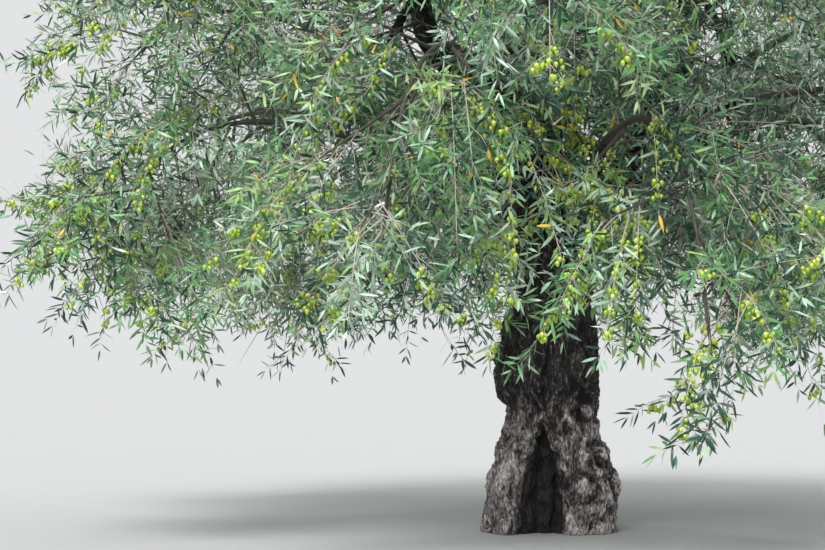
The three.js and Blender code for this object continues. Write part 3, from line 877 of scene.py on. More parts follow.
def trunk_section(height):
    """The trunk's middle line and half width at each height, from its outline."""
    row = np.clip(np.searchsorted(TRUNK_OUTLINE[:, 0], height, side="right"), 1, len(TRUNK_OUTLINE) - 1)
    low, high = np.moveaxis(TRUNK_OUTLINE[row - 1], -1, 0), np.moveaxis(TRUNK_OUTLINE[row], -1, 0)
    share = smooth_step(low[0], high[0], height)
    left, right = between((low[1], high[1]), share), between((low[2], high[2]), share)
    return (right - left) / 2, (right + left) / 2


def burl_distances(angle, height, half):
    """How many spreads a place lies from the middle of each burl."""
    return [
        np.hypot(half * angle_between(angle, burl_angle), height - burl_height) / spread
        for burl_angle, burl_height, spread, _ in BURLS
    ]


def knobs_at(angle, height, half):
    """How near a place is to the worn top of a knob, and to the groove round one, each from 0 to 1."""
    small = [
        away
        for away, row in zip(burl_distances(angle, height, half), BURLS)
        if row[2] < SMALL_BURL and row[0] > KNOBS_FROM
    ]
    tops = sum(np.exp(-((away / KNOB_TOP) ** 4)) for away in small)
    rims = sum(np.exp(-(((away - KNOB_RIM) / KNOB_RIM_WIDTH) ** 2)) for away in small)
    return np.clip(tops, 0, 1), np.clip(rims, 0, 1)


def oval_at(angle, half):
    """The plain oval's radius at an angle."""
    return 1 / np.hypot(np.cos(angle) / half, np.sin(angle) / (half * TRUNK_DEPTH))


def hollow_at(angle, height):
    """How far a place is in the hollow, and how near its rolled lip, each from 0 to 1."""
    middle, half = trunk_section(height)
    across = middle + np.cos(angle) * oval_at(angle, half)
    share = np.clip(height / HOLLOW_TOP, 0, 1)
    aside = np.abs(across - between(HOLLOW_MIDDLES, share))
    half_width = HOLLOW_HALF_WIDTH * (1 - smooth_step(*HOLLOW_NARROWING, share))
    inside = 1 - smooth_step(half_width * HOLLOW_FLOOR_SHARE, half_width + HOLLOW_BEVEL, aside)
    lip = np.exp(-(((aside - half_width - HOLLOW_LIP_WIDTH) / HOLLOW_LIP_WIDTH) ** 2))
    fading = (1 - share**3) * (np.sin(angle) < 0)
    return fading * inside, fading * lip


def knot_hole_at(angle, height, half):
    """How far a place is in the knot hole, from 0 to 1."""
    hole_angle, hole_height, spread, _ = KNOT_HOLE
    away = np.hypot(half * angle_between(angle, hole_angle), height - hole_height) / spread
    return np.exp(-(away**2))


def trunk_relief(angle, height, half):
    """How the trunk's surface at an angle and a height differs from its plain oval."""
    flare = np.exp(-height / BUTTRESS_FADE) + BUTTRESS_AT_TOP
    turned = angle + height * BUTTRESS_TWIST
    lobes = sum(strength * np.cos(count * turned + start) for count, start, strength in BUTTRESS_WAVES)
    front_and_back = 1 - BUTTRESS_LOST_AT_SIDES * np.cos(angle) ** 2
    relief = BUTTRESS_SHARE * half * flare * lobes * front_and_back
    for away, (_, _, _, rise) in zip(burl_distances(angle, height, half), BURLS):
        relief = relief + rise * np.exp(-(away**2))
    inside, lip = hollow_at(angle, height)
    return relief - HOLLOW_DEPTH * inside + HOLLOW_LIP_RISE * lip


def trunk_form():
    """The trunk's closed form, before its bark."""
    sides, steps = TRUNK_GRID
    angle, height = np.meshgrid(
        np.arange(sides) * TURN / sides,
        np.linspace(0, TRUNK_HEIGHT, steps + 1),
    )
    middle, half = trunk_section(height)
    rounding = np.clip((height - CROTCH_HEIGHT) / (TRUNK_HEIGHT - CROTCH_HEIGHT), 0, 1)
    closing = 1 - (1 - CROTCH_TOP_SHARE) * rounding**2
    radius = (oval_at(angle, half) + trunk_relief(angle, height, half)) * closing
    rings = np.stack([middle + np.cos(angle) * radius, np.sin(angle) * radius, height], axis=-1)
    ends = np.array([[0, 0, 0], [middle[-1, 0], 0, TRUNK_HEIGHT]])
    points = np.concatenate([rings.reshape(-1, 3), ends])
    floor, top = len(points) - 2, len(points) - 1
    around = np.arange(sides)
    after = (around + 1) % sides
    last = steps * sides
    triangles = [
        np.stack([after, around, np.full(sides, floor)], 1),
        np.stack([last + around, last + after, np.full(sides, top)], 1),
    ]
    for step in range(steps):
        a, b = step * sides + around, step * sides + after
        triangles += [np.stack([a, b, b + sides], 1), np.stack([a, b + sides, a + sides], 1)]
    return points, np.concatenate(triangles)


def limb_form(limb, first, last, steps, end_shares=(1, 1)):
    """A stretch of a limb as a closed tube, rounded in at its ends by the given shares."""
    along = np.linspace(first, last, steps + 1)
    path = np.array([limb["curve"](t) for t in along])
    radii = np.array([limb["radius_at"](t) for t in along])
    radii[0] *= end_shares[0]
    radii[-2] *= end_shares[1]
    return tubes(path[None], radii[None], TUBE_SIDES)


def merged(name, forms, voxel):
    """One skin round closed forms that run into each other."""
    raw = mesh_object(name + "_raw", *joined(forms), [])
    modifier = raw.modifiers.new("merge", "REMESH")
    modifier.mode = "VOXEL"
    modifier.voxel_size = voxel
    smooth = raw.modifiers.new("settle", "SMOOTH")
    smooth.iterations = SKIN_SMOOTHING
    evaluated = raw.evaluated_get(bpy.context.evaluated_depsgraph_get())
    mesh = evaluated.to_mesh()
    mesh.calc_loop_triangles()
    points, normals = (np.zeros(len(mesh.vertices) * 3, np.float32) for _ in range(2))
    mesh.vertices.foreach_get("co", points)
    mesh.vertices.foreach_get("normal", normals)
    triangles = np.zeros(len(mesh.loop_triangles) * 3, np.int32)
    mesh.loop_triangles.foreach_get("vertices", triangles)
    evaluated.to_mesh_clear()
    bpy.data.objects.remove(raw)
    return points.reshape(-1, 3), normals.reshape(-1, 3), triangles.reshape(-1, 3)


def girths(points, limbs):
    """The radius of the wood at each point: that of the nearest middle line, or the trunk's."""
    shares = np.linspace(0, 1, GIRTH_SAMPLES)
    samples = [(limb["curve"](share), limb["radius_at"](share)) for limb in limbs for share in shares]
    tree = kdtree.KDTree(len(samples))
    for i, (place, _) in enumerate(samples):
        tree.insert(place, i)
    tree.balance()
    own = np.array([samples[tree.find(point)[1]][1] for point in points])
    low = 1 - smooth_step(*GIRTH_BAND, points[:, 2])
    return own + (FULL_GIRTH - own) * low


def bark_noise(point):
    """At a place on the wood: broad lumps, round knots and ridges that run along it."""
    place = Vector(point)
    drift = noise.noise_vector(place / DRIFT_SIZE) * DRIFT
    drawn = Vector((place.x, place.y, place.z / RIDGE_STRETCH)) + drift
    ridges = noise.ridged_multi_fractal(drawn / RIDGE_SIZE, *RIDGE_FRACTAL)
    return noise.noise(place / LUMP_SIZE), noise.noise(place / KNOT_SIZE + KNOT_SHIFT), ridges


def bark_object(name, forms, voxel, limbs, material):
    """The merged skin with the bark's relief, and what the material reads: height with painted highlight
    and shade, wear, a paler lower trunk with painted light and shade, and painted shade in the holes.
    """
    points, normals, triangles = merged(name, forms, voxel)
    x, y, z = points.T
    middle, half = trunk_section(z)
    angle = np.arctan2(y, x - middle)
    inside, lip = hollow_at(angle, z)
    tops, rims = knobs_at(angle, z, half)
    hole = knot_hole_at(angle, z, half)
    size = np.minimum(1, girths(points, limbs) / FULL_GIRTH)
    lumps, knots, ridges = np.array([bark_noise(point) for point in points]).T
    on_right = smooth_step(*KNOTTY_ACROSS, x) * (1 - smooth_step(*KNOTTY_UP_TO, z))
    knots = smooth_step(*KNOT_BAND, knots) * between(KNOTTY_SHARES, on_right)
    ridges = np.clip((ridges - ridges.mean()) / ridges.std(), -2, 2)
    smooth = 1
    for share, place in zip(SMOOTHED, (inside, lip, knots)):
        smooth = smooth * (1 - share * place)
    rise = size * (KNOT_RISE * knots - KNOB_GROOVE * rims) - KNOT_HOLE[3] * hole
    rise = rise + np.sqrt(size) * (LUMP_RISE * lumps + RIDGE_RISE * ridges * smooth)
    points = points + normals * rise[:, None]
    points[:, 2] = np.maximum(points[:, 2], 0)
    x, y, z = points.T
    on_left = 1 - smooth_step(*ROLLED_ACROSS, x)
    rolled = lip * on_left * np.exp(-(((z - ROLLED_HEIGHT) / ROLLED_SPREAD) ** 2))
    # Paler lower trunk for dust and lichen, and painted shade that darkens the upper trunk.
    legs_dust_and_painted_light = 1 - smooth_step(*LEGS_UP_TO, z)
    worn_tops = tops * np.clip(between(KNOB_WEAR, ridges), 0, 1)
    # Painted shade: the hollow and the knot hole go near black.
    shade_in_holes = np.maximum(smooth_step(*HOLLOW_SHADE_BAND, inside), smooth_step(*KNOT_HOLE_SHADE_BAND, hole))
    attributes = {
        # Painted highlight on the tops of ridges, and painted shade in their furrows and in the grooves
        # round knobs.
        "height": 0.5 + PAINTED_RIDGE_LIGHT_AND_SHADE * ridges * smooth - PAINTED_GROOVE_SHADE * rims * legs_dust_and_painted_light,
        "worn": np.clip(KNOT_WEAR * knots + worn_tops + rolled, 0, 1),
        # Painted light on the right leg, which stands in the key light's shade.
        "legs_dust_and_painted_light": legs_dust_and_painted_light * between((1, PAINTED_RIGHT_LEG_LIGHT), on_right),
        # Painted shade, near black, in the hollow and the knot hole.
        "painted_hole_shade": HOLE_SHADE_DARKNESS * shade_in_holes,
    }
    return mesh_object(name, points, triangles, [material], attributes=attributes)


# Shoots, leaves and olives


def curved(roots, headings, lengths, droops, steps, stretch=(0, 1)):
    """Paths that leave along their headings and droop to their tips, over a stretch of their length."""
    share = np.linspace(*stretch, steps + 1)[:, None]
    straight = roots[:, None] + headings[:, None] * lengths[:, None, None] * share
    return straight - UP * (droops * lengths)[:, None, None] * share**2


def along_paths(paths, shares):
    """The point and the direction at shares of each path, for shares of shape (paths, any)."""
    steps = paths.shape[1] - 1
    place = np.clip(shares, 0, 1) * steps
    step = np.minimum(place.astype(int), steps - 1)
    row = np.arange(len(paths))[:, None]
    low, high = paths[row, step], paths[row, step + 1]
    return between((low, high), (place - step)[..., None]), unit(high - low)


def side_shoots(paths, count, stations, lengths, droops, rng):
    """Shoots that leave longer ones by turns to either side, and the number of the one each leaves."""
    order = np.arange(count)
    shape = (len(paths), count)
    station = between(stations, (order + rng.uniform(0, SHOOT_JITTER, shape)) / count)
    root, direction = along_paths(paths, station)
    level, square = across_of(direction, direction)
    tilt = rng.uniform(-SHOOT_TILT, SHOOT_TILT, shape)[..., None]
    side = np.where(order % 2, 1.0, -1.0)[:, None]
    aside = side * (level * np.cos(tilt) + square * np.sin(tilt))
    opening = np.radians(rng.uniform(*SHOOT_OPENING, shape))[..., None]
    heading = direction * np.cos(opening) + aside * np.sin(opening)
    length = rng.uniform(*lengths, shape) * between(SHOOT_SHORTENING, station)
    droop = droops[:, None] * rng.uniform(*SHOOT_DROOP, shape)
    root, heading = root.reshape(-1, 3), heading.reshape(-1, 3)
    return (
        curved(root, heading, length.ravel(), droop.ravel(), SHOOT_STEPS),
        np.repeat(np.arange(len(paths)), count),
    )


def hanging_shoots(twigs, masses, rng):
    """Long shoots that arch out and down from the twigs round the outside of the crown."""
    roots, headings, own = [], [], []
    for twig in twigs:
        count = HANGING_RINGS.get(masses[twig["mass"]]["ring"]["name"], 0)
        if math.hypot(*twig["end"][:2]) < HANGING_FROM:
            continue
        outward = unit(twig["end"] * (1, 1, 0))
        along = unit(twig["end"] - twig["root"])
        for station in between(HANGING_STATIONS, rng.uniform(0, 1, count)):
            lean = HANGING_LEAN[0] * along + HANGING_LEAN[1] * outward - HANGING_LEAN[2] * UP
            roots.append(between((twig["root"], twig["end"]), station))
            headings.append(lean + rng.normal(0, HANGING_STRAY))
            own.append(twig["mass"])
    roots, headings, own = np.array(roots), unit(np.array(headings)), np.array(own)
    lengths = rng.uniform(*HANGING_LENGTH, len(roots))
    paths = curved(roots, headings, lengths, rng.uniform(*HANGING_DROOP, len(roots)), HANGING_STEPS)
    tips = np.array([mass["tip"][2] for mass in masses])[own]
    low = paths[:, :, 2].min(1)
    kept = (low > HANGING_LOWEST) & (low > tips - HANGING_BELOW) & inside_box(paths, SHOOT_SLACK)
    kept &= ~hides_trunk(paths)
    kept &= ~in_fork_gap(paths[:, HANGING_STEPS // 2]) | (rng.random(len(paths)) < FORK_GAP_HANGING)
    return paths[kept], own[kept]


def leaves_on(paths, pairs, first, rng):
    """Leaves in opposite pairs along shoots, from a first share on: their points, and each one's shoot."""
    count = len(paths)
    order = np.arange(pairs)
    share = between((first[:, None], 1), (order + rng.uniform(*LEAF_STATIONS, (count, pairs))) / pairs)
    share[:, -1] = 1
    node, axis = along_paths(paths, share)
    level, square = across_of(axis, axis)
    turn = rng.uniform(0, TURN, (count, 1)) + order * math.pi / 2
    turn = turn + rng.uniform(-LEAF_TURN, LEAF_TURN, (count, pairs))
    turn = turn[..., None] + np.array([0, math.pi])
    shape = turn.shape
    node, axis, level, square = (each[:, :, None] for each in (node, axis, level, square))
    aside = level * np.cos(turn)[..., None] + square * np.sin(turn)[..., None]
    is_last = np.broadcast_to((order == pairs - 1)[:, None], shape)
    last_opening, opening = rng.uniform(*LAST_LEAF_OPENING, shape), rng.uniform(*LEAF_OPENING, shape)
    opening = np.where(is_last, last_opening, opening)[..., None]
    heading = unit(axis * np.cos(opening) + aside * np.sin(opening) - UP * LEAF_FALL)
    along, up, outward, stray = LEAF_FACING
    facing = along * (axis * np.sin(opening) - aside * np.cos(opening))
    facing = facing + up * UP + outward * unit(node * (1, 1, 0)) + rng.normal(0, stray, (*shape, 3))
    facing = unit(facing - dot(facing, heading) * heading)
    length = rng.uniform(*LEAF_LENGTH, shape) * np.where(is_last, LAST_LEAF_LENGTH, 1)
    curl = rng.uniform(*LEAF_CURL, shape)
    width = np.cross(facing, heading) * (LEAF_WIDTH / 2 * rng.uniform(*LEAF_WIDTHS, shape))[..., None]

    def middle_line(s):
        run = heading * (length * s + LEAF_STALK)[..., None]
        return node + run - facing * (length * curl * s * s)[..., None]

    outline = [middle_line(0)]
    for station, share_of_width in LEAF_OUTLINE:
        middle = middle_line(station)
        outline += [middle - share_of_width * width, middle + share_of_width * width]
    points = np.stack([*outline, middle_line(1)], axis=-2)
    shoot = np.broadcast_to(np.arange(count)[:, None, None], shape)
    return points.reshape(-1, LEAF_POINTS, 3), shoot.ravel()


def olive_shape():
    """Points and triangles of one olive, hanging from the origin, a little narrower at its lower end."""
    turns = np.arange(OLIVE_SIDES) * TURN / OLIVE_SIDES
    points = [(0, 0, 0)]
    for k, (width, fall) in enumerate(OLIVE_RINGS):
        half = width * OLIVE_WIDTH / 2
        points += [
            (math.cos(turn) * half, math.sin(turn) * half, -fall * OLIVE_LENGTH)
            for turn in turns + 0.5 * (k % 2) * TURN / OLIVE_SIDES
        ]
    points.append((0, 0, -OLIVE_LENGTH))
    tip = len(points) - 1
    last = 1 + (len(OLIVE_RINGS) - 1) * OLIVE_SIDES
    triangles = []
    for side in range(OLIVE_SIDES):
        after = (side + 1) % OLIVE_SIDES
        triangles += [(0, 1 + side, 1 + after), (last + side, tip, last + after)]
        for ring in range(len(OLIVE_RINGS) - 1):
            a, b = 1 + ring * OLIVE_SIDES + side, 1 + ring * OLIVE_SIDES + after
            triangles += [(a, a + OLIVE_SIDES, b), (b, a + OLIVE_SIDES, b + OLIVE_SIDES)]
    return np.array(points), np.array(triangles)


def clusters_on(paths, clusters, stations, rng):
    """Where olives hang in clusters: the node of the shoot that each grows from, and its own top."""
    jitter = rng.uniform(0, CLUSTER_JITTER, (len(paths), clusters))
    node, _ = along_paths(paths, between(stations, (np.arange(clusters) + jitter) / clusters))
    count = len(paths) * clusters
    node = np.repeat(node.reshape(-1, 3), CLUSTER_OF, axis=0)
    order = np.tile(np.arange(CLUSTER_OF), count)
    turn = order * GOLDEN_ANGLE + np.repeat(rng.uniform(0, TURN, count), CLUSTER_OF)
    spread = rng.uniform(*STALK_SPREAD, len(node))
    drop = between(STALK_DROP, (order + rng.uniform(0, 1, len(node))) / CLUSTER_OF)
    top = node + np.stack([np.cos(turn) * spread, np.sin(turn) * spread, -drop], axis=-1)
    kept = rng.random(len(node)) < CLUSTER_FILLED
    return node[kept], top[kept]


# Materials


def linear(hex_colour):
    """An sRGB hex colour as the linear RGBA that Blender takes."""
    values = [int(hex_colour[i : i + 2], 16) / 255 for i in (1, 3, 5)]
    return (*(v / 12.92 if v <= 0.04045 else ((v + 0.055) / 1.055) ** 2.4 for v in values), 1)


def add_node(material, kind, inputs=(), **settings):
    """A node with its settings, and what feeds or sets each of its inputs."""
    tree = material.node_tree
    made = tree.nodes.new(kind)
    for name, value in settings.items():
        setattr(made, name, value)
    for name, value in dict(inputs).items():
        if isinstance(value, bpy.types.NodeSocket):
            tree.links.new(value, made.inputs[name])
        else:
            made.inputs[name].default_value = value
    return made


def new_material(name, **values):
    """A material of one Principled shader with plain values, with a function that adds a node to it and one
    that feeds its shader."""
    material = bpy.data.materials.new(name)
    material.use_nodes = True
    shader = material.node_tree.nodes["Principled BSDF"]
    for key, value in values.items():
        shader.inputs[key].default_value = value

    def feed(socket, output):
        material.node_tree.links.new(output, shader.inputs[socket])

    return material, functools.partial(add_node, material), feed


def two_toned(add, feed, size, detail, colours):
    """Gives a surface two colours in soft blotches of a size, and returns the blotches."""
    place = add("ShaderNodeTexCoord").outputs["Object"]
    pattern = add("ShaderNodeTexNoise", {"Vector": place, "Scale": 1 / size, "Detail": detail})
    blotches = pattern.outputs["Fac"]
    first, second = (linear(colour) for colour in colours)
    mix = add("ShaderNodeMix", {0: blotches, 6: first, 7: second}, data_type="RGBA")
    feed("Base Color", mix.outputs[2])
    return blotches


def weathered_bark(name, colours, roughness):
    """Flaking bark: near black in its furrows, partly as painted shade, grey on its flakes, pale where it
    is worn, with no gloss, and painted paler on its ridges as highlight.
    The hollow and the knot hole are painted charcoal black as shade."""
    material, add, feed = new_material(name, Roughness=roughness)
    place = add("ShaderNodeTexCoord").outputs["Object"]
    drawn = add("ShaderNodeMapping", {"Vector": place, "Scale": (1, 1, 1 / FLAKE_STRETCH)}).outputs[0]
    patterns = {
        "flakes": {"Vector": drawn, "Scale": 1 / FLAKE_SIZE, "Detail": 3.0, "Distortion": 0.5},
        "patches": {"Vector": place, "Scale": 1 / PATCH_SIZE, "Detail": 2.0},
    }
    values = {key: add("ShaderNodeTexNoise", inputs).outputs["Fac"] for key, inputs in patterns.items()}
    # The skin's values: height with painted highlight and shade, wear, the paler lower trunk with painted
    # light and shade, and painted shade in the hollow and knot hole.
    for key in ("height", "worn", "legs_dust_and_painted_light", "painted_hole_shade"):
        values[key] = add("ShaderNodeAttribute", attribute_name=key).outputs["Fac"]
    tone = 0.0
    for key, share in TONE_SHARES.items():
        added = add("ShaderNodeMath", {0: values[key], 1: share, 2: tone}, operation="MULTIPLY_ADD")
        tone = added.outputs[0]
    low, high = TONE_RANGE
    place_in_range = add("ShaderNodeMapRange", {"Value": tone, "From Min": low, "From Max": high})
    ramp = add("ShaderNodeValToRGB", {"Fac": place_in_range.outputs[0]})
    while len(ramp.color_ramp.elements) < len(colours):
        ramp.color_ramp.elements.new(0.5)
    for element, (position, colour) in zip(ramp.color_ramp.elements, colours):
        element.position = position
        element.color = linear(colour)
    # Painted shade: the hollow and the knot hole are mixed to charcoal black.
    hole_shading = {0: values["painted_hole_shade"], 6: ramp.outputs[0], 7: linear("#141212")}
    feed("Base Color", add("ShaderNodeMix", hole_shading, data_type="RGBA").outputs[2])
    bump = add("ShaderNodeBump", {"Height": values["flakes"], "Strength": 0.9, "Distance": 0.009})
    feed("Normal", bump.outputs[0])
    return material


def young_bark(name, colours, roughening):
    """Young bark of twigs and shoots, grey with browner stretches, rougher where the wood is older."""
    material, add, feed = new_material(name, Roughness=0.7)
    stretches = two_toned(add, feed, 0.05, 4.0, colours)
    bump = add("ShaderNodeBump", {"Height": stretches, "Strength": 0.6, "Distance": roughening})
    feed("Normal", bump.outputs[0])
    return material


def leathery_leaf(name, upper, lower):
    """A leathery leaf: waxy above, which gives a soft gloss, and felted and silvery beneath."""
    material, add, feed = new_material(name, IOR=1.45)
    place = add("ShaderNodeTexCoord").outputs["Object"]
    side = add("ShaderNodeNewGeometry").outputs["Backfacing"]
    mottle = add("ShaderNodeTexNoise", {"Vector": place, "Scale": 1 / 0.05, "Detail": 2.0}).outputs["Fac"]
    tone = add(
        "ShaderNodeMapRange",
        {"Value": mottle, "From Min": 0.3, "From Max": 0.7, "To Min": 0.62, "To Max": 1.38},
    )
    faces = add("ShaderNodeMix", {0: side, 6: linear(upper), 7: linear(lower)}, data_type="RGBA")
    colour = add("ShaderNodeHueSaturation", {"Color": faces.outputs[2], "Value": tone.outputs[0]})
    feed("Base Color", colour.outputs[0])
    feed("Roughness", add("ShaderNodeMapRange", {"Value": side, "To Min": 0.36, "To Max": 0.85}).outputs[0])
    return material


def waxy_fruit(name, green, ripe):
    """The waxy skin of a green olive, with a small soft highlight, which turns yellow as it ripens."""
    material, add, feed = new_material(name, Roughness=0.3, IOR=1.45)
    two_toned(add, feed, 0.03, 2.0, (green, ripe))
    return material


def matt_paper(name, grey, light_grey):
    """Matt pale paper, which gives a soft shadow and nothing else."""
    material, add, feed = new_material(name, Roughness=0.9)
    two_toned(add, feed, 0.5, 2.0, (grey, light_grey))
    return material


TRUNK_BARK = weathered_bark(
    "weathered_olive_bark",
    [(0, "#121010"), (0.34, "#3e3938"), (0.68, "#8b8482"), (1, "#ddd5d1")],
    0.92,
)
# A darker copy of the trunk's bark: painted shade for the boughs and limbs, which stand in the crown's
# shade.
SHADED_LIMB_BARK = weathered_bark(
    "olive_bark_painted_in_shade",
    [(0, "#0e0d0c"), (0.42, "#2b2725"), (0.8, "#524b47"), (1, "#857d76")],
    0.88,
)
TWIG_BARKS = [
    young_bark("older_twig_bark", ("#5d554e", "#25201d"), 0.006),
    young_bark("young_olive_bark", ("#cbc2b7", "#988c80"), 0.0006),
]
# Each kind of leaf with its share: the first ones are dealt out by spray.
GREEN_LEAVES = [
    (leathery_leaf("dark_olive_leaf", "#264637", "#6d8b75"), 0.4),
    (leathery_leaf("green_olive_leaf", "#558552", "#89a585"), 0.32),
    (leathery_leaf("dusty_olive_leaf", "#99b69f", "#cfdccd"), 0.22),
    (leathery_leaf("fresh_olive_leaf", "#84a45f", "#b4c69a"), 0.06),
]
YELLOW_LEAF = (leathery_leaf("yellowing_leaf", "#dcae2a", "#dcc67e"), 0.004)
DRY_LEAF = (leathery_leaf("dry_leaf", "#9a6a3e", "#a98564"), 0.004)
LEAVES = [material for material, _ in (*GREEN_LEAVES, YELLOW_LEAF, DRY_LEAF)]
OLIVES = [
    waxy_fruit("green_olive_skin", "#8fb234", "#adcc46"),
    waxy_fruit("ripening_olive_skin", "#b7cf48", "#d3e268"),
]


# The tree


def dress_wood(boughs, limbs):
    """The trunk with the feet of its boughs in one skin, and the boughs with their limbs in another."""
    forms = [limb_form(bough, 0, FORK_END, FORK_STEPS, FORK_NARROWED) for bough in boughs]
    trunk = bark_object("trunk_bark", [trunk_form(), *forms], TRUNK_VOXEL, boughs, TRUNK_BARK)
    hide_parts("trunk")
    forms = [limb_form(bough, BOUGH_START, 1, BOUGH_STEPS, BOUGH_NARROWED) for bough in boughs]
    forms += [limb_form(limb, 0, 1, LIMB_FORM_STEPS) for limb in limbs]
    skin = bark_object("bough_bark", forms, BOUGH_VOXEL, boughs + limbs, SHADED_LIMB_BARK)
    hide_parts(*[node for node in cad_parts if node.startswith(("bough_", "limb_"))])
    return [trunk, skin]


def dress_leaves(groups, masses, rng):
    """Leaves on groups of shoots: for each its paths, pairs, first leaves' shares, masses and kinds."""
    points, own, kinds = [], [], []
    for paths, pairs, first, mass_of, kind_of in groups:
        grown, shoot = leaves_on(paths, pairs, first, rng)
        points.append(grown)
        own.append(mass_of[shoot])
        kinds.append(kind_of[shoot])
    points, own, kinds = np.concatenate(points), np.concatenate(own), np.concatenate(kinds)
    mixed = rng.random(len(kinds)) < LEAF_MIXING
    kinds[mixed] = rng.choice(len(GREEN_LEAVES), mixed.sum())
    kinds[rng.random(len(kinds)) < YELLOW_LEAF[1]] = len(GREEN_LEAVES)
    inside = inside_box(points, LEAF_SLACK)
    pieces = []
    for name, members in LEAF_PIECES.items():
        chosen = inside & np.isin(own, list(members))
        triangles = repeated(LEAF_TRIANGLES, chosen.sum(), LEAF_POINTS)
        index = np.repeat(kinds[chosen], len(LEAF_TRIANGLES))
        piece = mesh_object(name, points[chosen].reshape(-1, 3), triangles, LEAVES, index)
        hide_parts(*["foliage_" + masses[i]["name"] for i in members])
        pieces.append(piece)
    return pieces


def dress_fruit(nodes, tops, rng):
    """Olives under their nodes, in a front piece and a back one, and the paths of their stalks."""
    shape, shape_triangles = olive_shape()
    sizes = rng.uniform(*OLIVE_SIZES, len(tops))
    ripening = rng.random(len(tops)) < RIPENING_SHARE
    pieces = []
    for name, chosen in (("olives_front", tops[:, 1] < 0), ("olives_back", tops[:, 1] >= 0)):
        points = tops[chosen, None] + shape * sizes[chosen, None, None]
        triangles = repeated(shape_triangles, chosen.sum(), len(shape))
        index = np.repeat(ripening[chosen], len(shape_triangles))
        piece = mesh_object(name, points.reshape(-1, 3), triangles, OLIVES, index)
        piece.data.shade_smooth()
        pieces.append(piece)
    return pieces, np.stack([nodes, tops - UP * STALK_SUNK], axis=1)


def dress_twigs(name, parts):
    """Parts of twigs as one piece, each with the number of its bark."""
    points, triangles = joined([tube for tube, _ in parts])
    barks = np.concatenate([np.full(len(tube[1]), bark) for tube, bark in parts])
    piece = mesh_object(name, points, triangles, TWIG_BARKS, barks)
    return piece


def tapered(paths, radii, end_share, sides):
    """Pointed tubes along paths, which thin evenly to a share of their radii."""
    return tubes(paths, radii * np.linspace(1, end_share, paths.shape[1]), sides)


def knotted_stems(masses):
    """The stems of the masses, which swell and narrow as they thin."""
    thinning = STEM_RADII[0] * np.linspace(1, STEM_TAPER, STEM_STATIONS) ** STEM_TAPER_POWER
    turns = STEM_KNOT_STEP * np.arange(STEM_STATIONS) + np.arange(len(masses))[:, None]
    paths = stem_points(masses, np.linspace(0, 1, STEM_STATIONS))
    return tubes(paths, thinning * (1 + STEM_KNOTS * np.sin(turns)), STEM_SIDES)


def thinned_before_fork(sprays, rng):
    """The sprays, less some of those before the fork."""
    root, heading, length = columns(sprays, "root", "heading", "length")
    stays = rng.random(len(sprays)) <= FORK_GAP_KEPT
    stays |= ~in_fork_gap(root + heading * length[:, None] / 2)
    return [spray for spray, kept in zip(sprays, stays) if kept]


def grow_shoots(masses, twigs, sprays, space, rng):
    """The sprays' axes, the shoots on sprays, stems and twigs, what carries each, and its mass."""
    keys = ("root", "heading", "length", "droop", "mass")
    roots, headings, lengths, droops, spray_mass = columns(sprays, *keys)
    twig_roots, twig_ends, twig_droops, twig_mass = columns(twigs, "root", "end", "droop", "mass")
    sags = droops * SPRAY_SAG
    axes = curved(roots, headings, lengths, sags, SPRAY_STEPS)
    leafy_stems = stem_points(masses, np.linspace(*LEAFY_STEM, SPRAY_STEPS + 1))
    leafy_twigs = along_line(twig_roots, twig_ends, np.linspace(*LEAFY_TWIG, SPRAY_STEPS + 1))
    carriers = np.concatenate([axes, leafy_stems, leafy_twigs])
    stem_droops = [mass["ring"]["droop"] for mass in masses]
    carrier_droops = np.concatenate([droops, stem_droops, twig_droops])
    carrier_mass = np.concatenate([spray_mass, np.arange(len(masses)), twig_mass])
    sides, carrier_of = side_shoots(carriers, SHOOTS, SHOOT_STATIONS, SHOOT_LENGTH, carrier_droops, rng)
    ends = curved(roots, headings, lengths, sags, SHOOT_STEPS, SPRAY_END)
    shoots = np.concatenate([sides, ends])
    carrier_of = np.concatenate([carrier_of, np.arange(len(sprays))])
    leafy = between((BARE_INSIDE, 1), smooth_step(*LEAFY_DEPTH, crown_depth(shoots[:, 0])))
    kept = rng.random(len(shoots)) < leafy
    kept &= inside_box(shoots, SHOOT_SLACK) & ~hides_trunk(shoots) & space.in_crown(shoots[:, -1])
    kept &= space.clear_of_limbs(shoots[:, 1:], SHOOT_CLEARANCE).all(-1)
    return axes, shoots[kept], carrier_of[kept], carrier_mass


